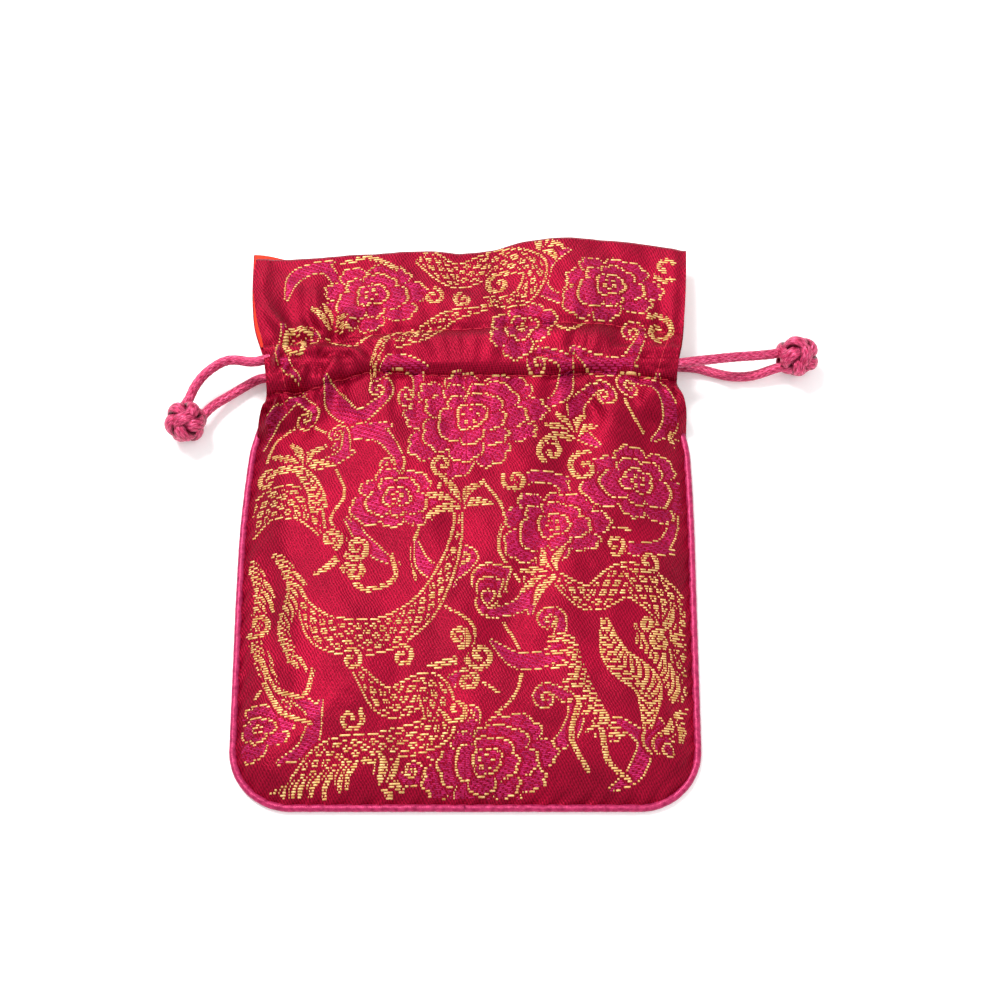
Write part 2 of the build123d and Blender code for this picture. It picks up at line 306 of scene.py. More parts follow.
def over_cords(x, y, z):
    """The cloth's height z, raised where a cord lies under it."""
    _, along = front_place(x, y)
    reach = CORD_DIAMETER / 2 + CORD_COVER
    for lane in (LOW_LANE_Y, HIGH_LANE_Y):
        off = (along - lane) / reach
        arch = FRONT_CORD_Z - CORD_SEAT + (reach + CORD_SEAT) * np.sqrt(np.clip(1 - off**2, 0, 1))
        cover = np.where(np.abs(off) < 1, arch, 0)
        z = SOFTNESS * np.logaddexp(z / SOFTNESS, cover / SOFTNESS)
    return z


def front_height(x, y):
    """Height of the front panel's outer side."""
    z = front_rest_height(x, y) + CASING_RISE * casing_shape(y) + neck_folds(x, y)
    z = z - STITCH_SINK * near_stitches(y)
    z = over_cords(x, y, z)
    free = smoothstep(28, 32, y)
    z = z - RIM_DROP * free * (1 - smoothstep(0, 1.0, PANEL_HALF - np.abs(x)))
    z = z + WELT_RISE * free * bell(PANEL_HALF - WELT_INSET - np.abs(x), 0.9)
    z = z - MOUTH_DROP * smoothstep(MOUTH_Y - 1.0, MOUTH_Y, y) ** 2
    return z + 0.05 * FINE(x, y)


def front_place(x, y):
    """Where a point of the flat cloth lies across and along the front of the pouch."""
    edge = np.where(x < 0, through(*FRONT_LEFT_EDGE, y), through(*FRONT_RIGHT_EDGE, y))
    lower = through(*LOWER_LINE, x)
    upper = through(*UPPER_LINE, x)
    body = np.clip((y - WARP_START_Y) / (LOWER_STITCH_Y - WARP_START_Y), 0, 1)
    casing = np.clip((y - LOWER_STITCH_Y) / (UPPER_STITCH_Y - LOWER_STITCH_Y), 0, 1)
    header = np.clip((y - UPPER_STITCH_Y) / (MOUTH_Y - UPPER_STITCH_Y), 0, None)
    along = np.minimum(y, WARP_START_Y) + body * (lower - WARP_START_Y)
    along = along + casing * (upper - lower) + header * (through(*MOUTH_LINE, x) - upper)
    return x * edge / PANEL_HALF, along


def front_surface(x, y, lift=0.0):
    """Outer side of the front panel, over the cloth's own flat coordinates."""
    across, along = front_place(x, y)
    return np.stack([across, along, front_height(x, y) + lift], axis=-1)


def front_lining_surface(x, y, lift=0.0):
    """Top side of the front lining, which stays flat under the casing."""
    across, along = front_place(x, y)
    flat_casing = front_rest_height(x, y) - STITCH_SINK - 0.2
    share = smoothstep(0, 1.5, y - LOWER_STITCH_Y + 1.5) * smoothstep(0, 1.5, UPPER_STITCH_Y + 1.5 - y)
    under = front_height(x, y) * (1 - share) + flat_casing * share
    return np.stack([across, along, under - CLOTH - LINING_GAP + lift], axis=-1)


def back_place(x, y):
    """Where a point of the flat cloth lies across and along the back of the pouch."""
    edge = np.where(x < 0, through(*BACK_LEFT_EDGE, y), through(*BACK_RIGHT_EDGE, y))
    mouth = (0.9 * np.sin(x / 13) + 1.5 * smoothstep(42, 53, -x)) * smoothstep(55, MOUTH_Y, y)
    return x * edge / PANEL_HALF, y + mouth


def back_surface(x, y, lift=0.0):
    """Outer side of the back panel, down on the surface."""
    across, along = back_place(x, y)
    height = BACK_Z + 0.03 * (1 + MIDDLE(x, y)) * smoothstep(0, 8, inside_distance(x, y))
    return np.stack([across, along, height + lift + 0 * across], axis=-1)


def back_lining_surface(x, y, lift=0.0):
    """Top side of the back lining, raised over the casing."""
    across, along = back_place(x, y)
    height = BACK_LINING_Z + CLOTH + BACK_ROOF_RISE * casing_shape(y)
    height = height + 0.1 * (1 + MIDDLE(y, x)) * smoothstep(0, 6, inside_distance(x, y))
    return np.stack([across, along, height + lift], axis=-1)


# ---------------------------------------------------------------- meshes


def make_piece(name, points, quads, material, flat=None, crest_shade=None):
    """A smooth-shaded mesh object from points in millimetres and four-cornered faces.

    flat is each point's place on the uncut cloth, and the crest value how far it stands out, 0 to 1; the
    cord's material paints shade where it is low.
    """
    mesh = bpy.data.meshes.new(name)
    mesh.vertices.add(len(points))
    mesh.vertices.foreach_set("co", (points * MM).astype(np.float32).ravel())
    corners = np.ascontiguousarray(quads, np.int32)
    mesh.loops.add(corners.size)
    mesh.loops.foreach_set("vertex_index", corners.ravel())
    mesh.polygons.add(len(corners))
    mesh.polygons.foreach_set("loop_start", np.arange(0, corners.size, 4, dtype=np.int32))
    mesh.update(calc_edges=True)
    mesh.shade_smooth()
    if flat is not None:
        layer = mesh.uv_layers.new(name="flat")
        layer.data.foreach_set("uv", flat[corners.ravel()].astype(np.float32).ravel())
    if crest_shade is not None:
        mesh.attributes.new("crest_shade", "FLOAT", "POINT").data.foreach_set("value", crest_shade.astype(np.float32))
    mesh.materials.append(material)
    piece = bpy.data.objects.new(name, mesh)
    bpy.context.scene.collection.objects.link(piece)
    return piece


def grid_quads(rows, columns, closed=False):
    """Faces of a grid of points; closed joins the last column to the first."""
    index = np.arange(rows * columns).reshape(rows, columns)
    if closed:
        index = np.concatenate([index, index[:, :1]], axis=1)
    corners = [index[:-1, :-1], index[:-1, 1:], index[1:, 1:], index[1:, :-1]]
    return np.stack(corners, axis=-1).reshape(-1, 4)


def mesh_points(mesh):
    """Places of a mesh's points, in millimetres."""
    places = np.zeros(len(mesh.vertices) * 3, np.float32)
    mesh.vertices.foreach_get("co", places)
    return places.reshape(-1, 3) / MM


def gathered(piece):
    """Bake a piece of one half of the neck into its mesh and read its points; the piece is not bent."""
    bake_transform(piece)
    points = mesh_points(piece.data)
    return piece


def panel_rows(low, high, inset):
    """Stations along a panel, close together round its corners, its casing and its mouth edge."""
    radius = CORNER_RADIUS - inset
    rows = [low + radius * (1 - np.cos(np.linspace(0, math.pi / 2, 26)))]
    start = low + radius
    stretches = (
        (30, 116),
        (LOWER_STITCH_Y, 14),
        (LOWER_STITCH_Y + 2.4, 11),
        (UPPER_STITCH_Y - 2.0, 14),
        (UPPER_STITCH_Y, 9),
        (high - 1.2, 33),
        (high, 7),
    )
    for end, count in stretches:
        rows.append(np.linspace(start, end, count)[1:])
        start = end
    return np.concatenate(rows)


def panel_half(name, side, surface, inset, high, material, columns, outer_lift):
    """One half of a panel of cloth, as a closed shell one layer thick."""
    rows = panel_rows(BOTTOM_Y + inset, high, inset)
    share = np.linspace(0, 1, columns)
    half = np.where(rows < BOTTOM_Y + CORNER_RADIUS, row_half(rows, inset), HALF_WIDTH - inset)
    x = side * half[:, None] * share[None, :]
    y = np.repeat(rows[:, None], columns, axis=1)
    outer = surface(x, y, outer_lift).reshape(-1, 3)
    inner = surface(x, y, outer_lift - CLOTH).reshape(-1, 3)
    face = grid_quads(len(rows), columns)
    count = len(outer)
    border = np.arange(count).reshape(len(rows), columns)
    edge = np.concatenate([border[0, :-1], border[:-1, -1], border[-1, :0:-1], border[:0:-1, 0]])
    after = np.roll(edge, -1)
    rim = np.stack([edge, edge + count, after + count, after], axis=1)
    quads = np.concatenate([face, face[:, ::-1] + count, rim])
    if side < 0:
        quads = quads[:, ::-1]
    flat = np.stack([x.ravel(), y.ravel()], axis=1)
    shell = np.concatenate([outer, inner])
    piece = make_piece(name, shell, quads, material, np.concatenate([flat, flat]))
    piece.data.set_sharp_from_angle(angle=math.radians(60))
    return piece


def cut_notch(piece, side):
    """Open the end of a casing in a lining, where the cords come out."""
    mesh = piece.data
    x, y, _ = mesh_points(mesh).T
    low = LOWER_STITCH_Y + NOTCH_INSET
    high = UPPER_STITCH_Y - NOTCH_INSET
    gone = (x * side > LINING_NOTCH_X) & (y > low) & (y < high)
    shape = bmesh.new()
    shape.from_mesh(mesh)
    shape.verts.ensure_lookup_table()
    bmesh.ops.delete(shape, geom=[shape.verts[i] for i in np.nonzero(gone)[0]], context="VERTS")
    shape.to_mesh(mesh)
    shape.free()


def tube_frames(points, ups=None):
    """Sideways and up directions of a tube at each point of its line."""
    ahead = np.gradient(points, axis=0)
    ahead /= np.linalg.norm(ahead, axis=1, keepdims=True)
    if ups is None:
        ups = np.empty_like(points)
        up = np.array([0.0, 0.0, 1.0])
        if abs(ahead[0] @ up) > 0.9:
            up = np.array([0.0, 1.0, 0.0])
        for i, direction in enumerate(ahead):
            up = up - (up @ direction) * direction
            up = up / np.linalg.norm(up)
            ups[i] = up
    ups = ups - np.sum(ups * ahead, axis=1, keepdims=True) * ahead
    ups /= np.linalg.norm(ups, axis=1, keepdims=True)
    return np.cross(ahead, ups), ups


def closed_tube_frames(points, ups):
    """The same for a line whose last point is followed by its first."""
    line, line_ups = (np.concatenate([ring[-1:], ring, ring[:1]]) for ring in (points, ups))
    sideways, up = tube_frames(line, line_ups)
    return sideways[1:-1], up[1:-1]


def tube_quads(count, sides, closed):
    """Faces of a tube; an open one is capped with two more points, the middles of its ends."""
    quads = grid_quads(count, sides, closed=True)
    last = (count - 1) * sides
    if closed:
        here = np.arange(sides)
        beside = np.roll(here, -1)
        joint = np.stack([last + here, last + beside, beside, here], axis=1)
        return np.concatenate([quads, joint])
    pairs = np.arange(0, sides, 2)
    after = (pairs + 2) % sides
    start = np.full_like(pairs, count * sides)
    first_cap = np.stack([pairs, start, after, pairs + 1], axis=1)
    last_cap = np.stack([last + pairs, last + pairs + 1, last + after, start + 1], axis=1)
    return np.concatenate([quads, first_cap, last_cap])


def tube_piece(
    name, points, radius, sides, material, slot_name, relief=None, ups=None, closed=False, flatness=None
):
    """A tube along a line of points, with its surface raised or sunk by relief(along, angle).

    flatness is the height over the width of a flattened tube, with ups giving the way its height goes; its
    crest value, which the cord's material turns into painted shade, then falls off down its sides, where
    they lie against the strands beside it.
    """
    sideways, up = closed_tube_frames(points, ups) if closed else tube_frames(points, ups)
    along = lengths_along(points)
    angle = np.arange(sides) * TAU / sides
    height = relief(along[:, None], angle[None, :]) if relief else np.zeros((len(points), sides))
    # The crest value is 1 on the relief's tops and 0 in its deepest grooves; the cord's material paints
    # shade where it is low.
    crest_shade = height / max(1e-6, -height.min()) + 1
    if flatness:
        # Painted shade down the sides of a flattened strand, where the strands beside it would shade it.
        crest_shade = crest_shade * (0.2 + 0.8 * smoothstep(-0.1, 0.7, np.sin(angle)))[None, :]
    crest_shade = crest_shade.ravel()
    ring = np.cos(angle)[None, :, None] * sideways[:, None, :]
    ring = ring + (flatness or 1.0) * np.sin(angle)[None, :, None] * up[:, None, :]
    shell = (points[:, None, :] + ring * (radius + height)[:, :, None]).reshape(-1, 3)
    flat = np.stack(np.broadcast_arrays(along[:, None], angle[None, :] * radius), axis=-1).reshape(-1, 2)
    if not closed:
        shell = np.concatenate([shell, points[:1], points[-1:]])
        flat = np.concatenate([flat, flat[:1], flat[-1:]])
        crest_shade = np.concatenate([crest_shade, [0, 0]])
    quads = tube_quads(len(points), sides, closed)[:, ::-1]
    return make_piece(name, shell, quads, material, flat, crest_shade)


# ---------------------------------------------------------------- materials

WHITE = (255, 255, 255)
WAVE_RATE = 20  # Blender's wave texture turns through this many radians in each unit


class Shader:
    """A node material with one Principled surface, and short calls to add to it."""

    def __init__(self, name, **sockets):
        self.material = bpy.data.materials.new(name)
        self.material.use_nodes = True
        self.tree = self.material.node_tree
        self.surface = self.tree.nodes["Principled BSDF"]
        for socket, value in sockets.items():
            self.surface.inputs[socket.replace("_", " ")].default_value = value

    def add(self, kind, inputs=None, **settings):
        """A node; inputs maps a socket to a value or to another node's output."""
        node = self.tree.nodes.new("ShaderNode" + kind)
        for setting, value in settings.items():
            setattr(node, setting, value)
        for socket, value in (inputs or {}).items():
            if isinstance(value, bpy.types.NodeSocket):
                self.tree.links.new(value, node.inputs[socket])
            else:
                node.inputs[socket].default_value = value
        return node

    def cloth_place(self, turn=0.0):
        """Flat position on the cloth in millimetres, turned by an angle in degrees."""
        flat = self.add("UVMap", uv_map="flat").outputs["UV"]
        rotation = (0, 0, math.radians(turn))
        return self.add("Mapping", {"Vector": flat, "Rotation": rotation}).outputs["Vector"]

    def object_place(self):
        """Position in the object, in metres."""
        return self.add("TexCoord").outputs["Object"]

    def stretched(self, place, scale):
        """A position scaled along X, Y and Z."""
        return self.add("Mapping", {"Vector": place, "Scale": scale}).outputs["Vector"]

    def noise(self, place, scale, detail=2.0):
        """Cloudy noise, 0 to 1."""
        return self.add("TexNoise", {"Vector": place, "Scale": scale, "Detail": detail}).outputs["Fac"]

    def bands(self, turn, pitch, wobble):
        """Even bands on the cloth, one every pitch, turned by an angle in degrees."""
        inputs = {"Vector": self.cloth_place(turn), "Scale": TAU / WAVE_RATE / pitch}
        inputs.update({"Distortion": wobble, "Detail": 1.0})
        return self.add("TexWave", inputs, wave_type="BANDS", bands_direction="X").outputs["Fac"]

    def maths(self, operation, first, second):
        """Result of a sum on two values."""
        return self.add("Math", {0: first, 1: second}, operation=operation).outputs[0]

    def ramp(self, factor, *stops):
        """Colours along a factor, each stop a position and a colour."""
        node = self.add("ValToRGB", {"Fac": factor})
        elements = node.color_ramp.elements
        while len(elements) < len(stops):
            elements.new(0.5)
        for element, (position, colour) in zip(elements, stops):
            element.position = position
            element.color = (*linear(colour), 1)
        return node.outputs["Color"]

    def mix(self, factor, first, second, blend="MIX"):
        """Two colours mixed."""
        inputs = {0: factor, 6: first, 7: second}
        return self.add("Mix", inputs, data_type="RGBA", blend_type=blend).outputs[2]

    def shaded(self, colour, factor, dark, low, high):
        """A colour left as it is where the factor is high, and multiplied by dark where it is low."""
        return self.mix(1.0, colour, self.ramp(factor, (low, dark), (high, WHITE)), "MULTIPLY")

    def colour(self, output):
        """Use an output as the surface's colour."""
        self.tree.links.new(output, self.surface.inputs["Base Color"])

    def rough(self, factor, low, high):
        """Let the surface's roughness follow a factor."""
        node = self.add("MapRange", {"Value": factor, "To Min": low, "To Max": high})
        self.tree.links.new(node.outputs["Result"], self.surface.inputs["Roughness"])

    def bump(self, height, depth, strength=1.0):
        """Raise the surface by height times depth, in metres."""
        node = self.add("Bump", {"Height": height, "Distance": depth, "Strength": strength})
        self.tree.links.new(node.outputs["Normal"], self.surface.inputs["Normal"])


def linear(colour):
    """Screen colour, 0 to 255, as the linear values that shaders take."""
    shares = [part / 255 for part in colour]
    return [share / 12.92 if share <= 0.04045 else ((share + 0.055) / 1.055) ** 2.4 for share in shares]


def brocade_material():
    """Crimson satin ground: an uneven fine twill with a soft coloured gloss and cloudy dye."""
    shader = Shader("brocade_ground", Metallic=0.55, Specular_IOR_Level=0.12)
    grain = shader.mix(0.35, shader.bands(-28, 0.62, 5.0), shader.bands(38, 0.9, 6.0))
    threads = shader.bands(92, 0.3, 0.3)
    weave = shader.maths("ADD", shader.maths("MULTIPLY", grain, 0.7), shader.maths("MULTIPLY", threads, 0.3))
    cloudy = shader.noise(shader.cloth_place(), 0.07, 3.0)
    tone = shader.ramp(weave, (0.1, (106, 1, 26)), (0.85, (178, 7, 52)))
    shader.colour(shader.shaded(tone, cloudy, (214, 214, 214), 0.3, 0.7))
    shader.rough(weave, 0.34, 0.5)
    shader.bump(weave, 0.0001, 0.9)
    return shader.material


def yarn_material(name, dark, light, roughness, metallic):
    """Brocading yarn: lengthwise filaments, a colour that varies from pick to pick, and painted sheen in
    broad random patches that stand in for the yarn's lustre.
    """
    shader = Shader(name, Metallic=metallic, Specular_IOR_Level=0.2)
    place = shader.object_place()
    filaments = shader.noise(shader.stretched(place, (1, 8, 1)), 1600)
    tone = shader.ramp(shader.noise(place, 900), (0.3, dark), (0.68, light))
    # Painted sheen: broad random patches are left bright or dimmed, standing in for the yarn's uneven
    # lustre.
    shader.colour(shader.shaded(tone, shader.noise(place, 130, 1.0), (226, 226, 226), 0.35, 0.65))
    shader.rough(filaments, roughness - 0.07, roughness + 0.1)
    shader.bump(filaments, 0.00003, 0.5)
    return shader.material


def lining_material():
    """Plain-woven orange-red lining."""
    shader = Shader("lining_cloth", Metallic=0.15, Specular_IOR_Level=0.15)
    weave = shader.maths("MULTIPLY", shader.bands(0, 0.35, 0.2), shader.bands(90, 0.35, 0.2))
    tone = shader.ramp(weave, (0.0, (222, 42, 14)), (0.8, (250, 78, 40)))
    patches = shader.noise(shader.cloth_place(), 0.12)
    shader.colour(shader.shaded(tone, patches, (225, 225, 225), 0.3, 0.7))
    shader.rough(weave, 0.48, 0.6)
    shader.bump(weave, 0.00005, 0.6)
    return shader.material


def piping_material():
    """Bias-cut pink satin, with diagonal threads and pulled wrinkles."""
    shader = Shader("piping_satin", Metallic=0.3, Specular_IOR_Level=0.25)
    threads = shader.bands(45, 0.3, 0.4)
    pulls = shader.noise(shader.cloth_place(40), 0.9)
    shader.colour(shader.ramp(pulls, (0.3, (140, 20, 66)), (0.7, (190, 50, 100))))
    shader.rough(threads, 0.3, 0.45)
    shader.bump(shader.maths("ADD", shader.maths("MULTIPLY", threads, 0.2), pulls), 0.00012, 0.6)
    return shader.material


def cord_material():
    """Satin cord: a finely plaited glossy cover whose filaments run in lighter and darker streaks, with
    painted shade in the plait's grooves and down the sides of the knot's strands.
    """
    shader = Shader("satin_cord", Metallic=0.35, Specular_IOR_Level=0.3)
    crest_shade = shader.add("Attribute", attribute_name="crest_shade").outputs["Fac"]
    streaks = shader.noise(shader.stretched(shader.cloth_place(), (0.7, 5.0, 1)), 1.0, 3.0)
    filaments = shader.bands(62, 0.24, 1.5)
    tone = shader.ramp(streaks, (0.34, (156, 12, 54)), (0.5, (214, 54, 104)), (0.64, (254, 112, 158)))
    lined = shader.shaded(tone, filaments, (222, 222, 222), 0.0, 0.8)
    # Painted shade: the colour darkens where the crest value is low, in the plait's grooves and down the
    # sides of the knot's strands.
    shader.colour(shader.shaded(lined, crest_shade, (104, 70, 84), 0.05, 0.75))
    shader.rough(filaments, 0.26, 0.42)
    shader.bump(shader.maths("ADD", filaments, streaks), 0.00006, 0.7)
    return shader.material


def thread_material():
    """Spun sewing thread with a slight twist."""
    shader = Shader("sewing_thread", Specular_IOR_Level=0.2)
    twist = shader.bands(40, 0.25, 0.2)
    shader.colour(shader.ramp(twist, (0.1, (176, 20, 50)), (0.9, (222, 52, 76))))
    shader.rough(twist, 0.42, 0.58)
    shader.bump(twist, 0.00003, 0.6)
    return shader.material


def floor_material():
    """Plain white surface with a trace of unevenness, as bright as an overexposed studio table."""
    shader = Shader("white_floor", Roughness=0.7, Emission_Color=(1, 1, 1, 1), Emission_Strength=0.14)
    grain = shader.noise(shader.object_place(), 60)
    shader.colour(shader.ramp(grain, (0.2, (249, 249, 249)), (0.8, (252, 252, 252))))
    return shader.material


BROCADE = brocade_material()
GOLD_YARN = yarn_material("gold_yarn", (196, 140, 68), (252, 214, 142), 0.34, 0.3)
PINK_YARN = yarn_material("pink_yarn", (136, 8, 60), (204, 36, 106), 0.38, 0.4)
LINING = lining_material()
PIPING = piping_material()
CORD = cord_material()
THREAD = thread_material()


# ---------------------------------------------------------------- brocade pattern

# The pattern is drawn on a fine raster of weft picks, then each run of a colour
# becomes floats of yarn that lie on the ground. The picks slope a little across the panel.
CELL_X = 0.3
CELL_Y = 0.2
REACH_X = PANEL_HALF
REACH_Y = 78.0
GRAIN_SLOPE = 0.044
EDGE_LINE = 0.54  # width of an outline in gold
HALO = 0.55  # ground left clear round each shape
PAINT_STEP = 0.09
TONGUE_PITCH = 1.6  # from one tongue of a fringe to the next
TONGUE_GAP = 0.42  # ground left clear round a tongue
FLOWER_FLATNESS = 0.85  # height of a blossom over its width


def paint(cloth, x, y, kind):
    """Set the colour of the raster's cells under the given points."""
    kind = np.broadcast_to(kind, x.shape)
    column = np.floor((x + REACH_X) / CELL_X).astype(int)
    row = np.floor((y - GRAIN_SLOPE * x + REACH_Y) / CELL_Y).astype(int)
    inside = (column >= 0) & (column < cloth.shape[1]) & (row >= 0) & (row < cloth.shape[0])
    cloth[row[inside], column[inside]] = kind[inside]


def drawn_line(points):
    """Fine smooth line through the given points: place, sideways direction and length along."""
    points = np.asarray(points, float)
    chord = np.concatenate([[0], np.cumsum(np.hypot(*np.diff(points, axis=0).T))])
    at = np.linspace(0, chord[-1], max(8, int(chord[-1] / PAINT_STEP)))
    x = through(chord, points[:, 0], at)
    y = through(chord, points[:, 1], at)
    dx, dy = np.gradient(x), np.gradient(y)
    size = np.hypot(dx, dy) + 1e-9
    return x, y, -dy / size, dx / size, at


def stroke(cloth, points, widths, fill, edge=None, texture=None, margins=(HALO, 0.0)):
    """A band along a line, with half-widths given from its start to its end.

    Ground is cleared out to the first margin round it, and its colours fill it at margin 0.
    """
    x, y, across_x, across_y, along = drawn_line(points)
    half = through(np.linspace(0, 1, len(widths)), widths, along / along[-1])
    for margin in margins:
        reach = half + margin
        steps = np.linspace(-1, 1, max(3, int(2 * reach.max() / PAINT_STEP)))
        offset = steps[None, :] * reach[:, None]
        kind = np.full(offset.shape, GROUND if margin else fill)
        if not margin and texture is not None:
            kind[texture(along[:, None], offset, half[:, None])] = GROUND
        if not margin and edge is not None:
            kind[np.abs(offset) > half[:, None] - EDGE_LINE] = edge
        paint(cloth, x[:, None] + offset * across_x[:, None], y[:, None] + offset * across_y[:, None], kind)


def scale_lines(along, offset, half):
    """Ground showing between rows of overlapping scales."""
    pitch, width = 2.1, 2.6
    row = np.floor(along / pitch)
    shift = 0.5 * np.mod(row, 2)
    across = np.mod(offset / width + shift, 1) - 0.5
    ahead = along / pitch - row
    arc = np.hypot(across * 2, ahead)
    within = half - np.abs(offset)
    return (np.abs(arc - 0.85) < 0.2) | (arc < 0.22) | ((within < 1.0) & (within > 0.5))


def rib_lines(along, offset, half):
    """Ground showing between slanting ribs."""
    return np.mod((along + 0.8 * np.abs(offset)) / 2.0, 1) < 0.34


def spiral_points(x, y, radius, start, turns):
    """Points that wind in to a centre; a negative turn winds the other way."""
    share = np.linspace(0, 1, max(6, int(abs(turns) * 9)))
    angle = start + TAU * turns * share
    reach = radius * (1 - 0.86 * share)
    return np.stack([x + reach * np.cos(angle), y + reach * np.sin(angle)], axis=1)


def scroll(cloth, x, y, radius, start, turns, width=0.66):
    """Round curl that winds in to its centre."""
    stroke(cloth, spiral_points(x, y, radius, start, turns), [width, width, 0.8 * width], GOLD)


def cloud(cloth, x, y, size, heading):
    """Three curls round a small leaf."""
    for turn, share, way in ((-1.3, 0.8, -1.25), (0.0, 1.0, 1.3), (1.3, 0.8, 1.25)):
        angle = heading + turn
        centre = (x + size * math.cos(angle), y + size * math.sin(angle))
        scroll(cloth, *centre, 0.62 * size * share, angle + math.pi, way)
    tail = (x - 1.3 * size * math.cos(heading), y - 1.3 * size * math.sin(heading))
    stroke(cloth, [(x, y), ((x + tail[0]) / 2 + 0.6, (y + tail[1]) / 2), tail], [0.9, 0.8, 0.3], GOLD)


def leaf_scroll(cloth, points, width, curl, turns):
    """Pink leaf with a gold edge, ending in a curl, with a lobe on its back."""
    (x0, y0), (x1, y1) = points[-2], points[-1]
    heading = math.atan2(y1 - y0, x1 - x0)
    side = 1 if turns > 0 else -1
    centre_x = x1 - side * curl * math.sin(heading)
    centre_y = y1 + side * curl * math.cos(heading)
    start = heading - side * math.pi / 2
    lobe_x = x0 + side * 1.7 * width * math.sin(heading)
    lobe_y = y0 - side * 1.7 * width * math.cos(heading)
    lobe = [points[1], (0.5 * (points[1][0] + lobe_x), 0.5 * (points[1][1] + lobe_y)), (lobe_x, lobe_y)]
    shapes = (
        (lobe, [0.6, 0.8 * width, 0.5]),
        (points, [0.5, width, 0.9 * width, 0.6 * width]),
        (spiral_points(centre_x, centre_y, curl, start, turns), [0.6 * width, 0.6 * width, 0.8]),
    )
    for margins in ((HALO,), (0.0,)):
        for line, widths in shapes:
            stroke(cloth, line, widths, PINK, GOLD, rib_lines, margins)
    for line, widths in shapes[:2]:
        stroke(cloth, line, [max(0.1, part - 0.5) for part in widths], PINK, margins=(0.0,))


def spray(cloth, x, y, heading, size, count, spread):
    """Fan of pointed leaves from one place."""
    for i in range(count):
        angle = heading + spread * (i / (count - 1) - 0.5)
        bend = angle + 0.5 * math.copysign(1, angle - heading)
        middle = (x + 0.55 * size * math.cos(angle), y + 0.55 * size * math.sin(angle))
        tip = (middle[0] + 0.5 * size * math.cos(bend), middle[1] + 0.5 * size * math.sin(bend))
        stroke(cloth, [(x, y), middle, tip], [0.7, 1.0, 0.4], GOLD)


def fringe(cloth, points, length, lean):
    """Row of tapering tongues along one side of a line, each set off from the one before by a thin gap."""
    x, y, across_x, across_y, along = drawn_line(points)
    for at in np.arange(0, along[-1], TONGUE_PITCH):
        i = np.searchsorted(along, at)
        direction = math.atan2(across_y[i], across_x[i]) + lean
        reach = length * (0.95 + 0.35 * math.sin(1.7 * at))
        middle = (x[i] + 0.5 * reach * math.cos(direction), y[i] + 0.5 * reach * math.sin(direction))
        bent = direction + 0.55 * math.copysign(1, lean)
        tip = (middle[0] + 0.5 * reach * math.cos(bent), middle[1] + 0.5 * reach * math.sin(bent))
        stroke(cloth, [(x[i], y[i]), middle, tip], [0.5, 0.5, 0.26], GOLD, margins=(TONGUE_GAP, 0.0))


def flower(cloth, x, y, radius, petals, rings, turn):
    """Open blossom: rings of ruffled petals in pink with gold edges, and a gold heart."""
    angle = np.linspace(0, TAU, 900)[:, None]
    for ring in range(rings):
        count = max(4, petals - 2 * ring)
        uneven = 0.5 * np.sin(2 * angle + turn + ring) + 0.3 * np.sin(3 * angle - turn)
        phase = count * angle / 2 + turn + 0.9 * ring + uneven
        ruffle = 0.07 * np.abs(np.sin(3 * phase)) + 0.10 * np.sin(2 * angle + turn)
        ruffle = ruffle + 0.07 * np.sin(3 * angle + 2 * turn)
        rim = radius * (1 - ring / rings) * (0.70 + 0.26 * np.abs(np.sin(phase)) ** 0.6 + ruffle)
        heart = y + 0.10 * radius * ring / rings
        shares = np.linspace(0, 1, max(12, int(radius / PAINT_STEP)))[None, :]
        for margin in (HALO, 0.0):
            reach = (rim + margin) * shares
            kind = np.full(reach.shape, GROUND if margin else PINK)
            if not margin:
                kind[(np.abs(np.sin(phase)) < 0.13) & (shares > 0.45)] = GROUND
                kind[(np.mod(phase * 2.2, 1) < 0.16) & (shares > 0.8) & (shares < 0.93)] = GROUND
                kind[rim - reach < EDGE_LINE] = GOLD
            up = FLOWER_FLATNESS * reach * np.sin(angle)
            paint(cloth, x + reach * np.cos(angle), heart + up, kind)
    for i in range(5):
        seed_x = x + 0.11 * radius * math.cos(turn + i * TAU / 5)
        seed_y = heart + 0.11 * radius * math.sin(turn + i * TAU / 5)
        stroke(cloth, [(seed_x - 0.4, seed_y), (seed_x + 0.4, seed_y)], [0.35, 0.35], GOLD)


def bud(cloth, x, y, radius, heading):
    """Half-open blossom of three nested petals."""
    for share in (1.0, 0.68, 0.36):
        reach = radius * share
        tip = (x + reach * 1.7 * math.cos(heading), y + reach * 1.7 * math.sin(heading))
        side = (0.35 * reach * math.cos(heading + 1.6), 0.35 * reach * math.sin(heading + 1.6))
        middle = ((x + tip[0]) / 2 + side[0], (y + tip[1]) / 2 + side[1])
        stroke(cloth, [(x, y), middle, tip], [0.4, 0.75 * reach, 0.35], PINK, GOLD, rib_lines)


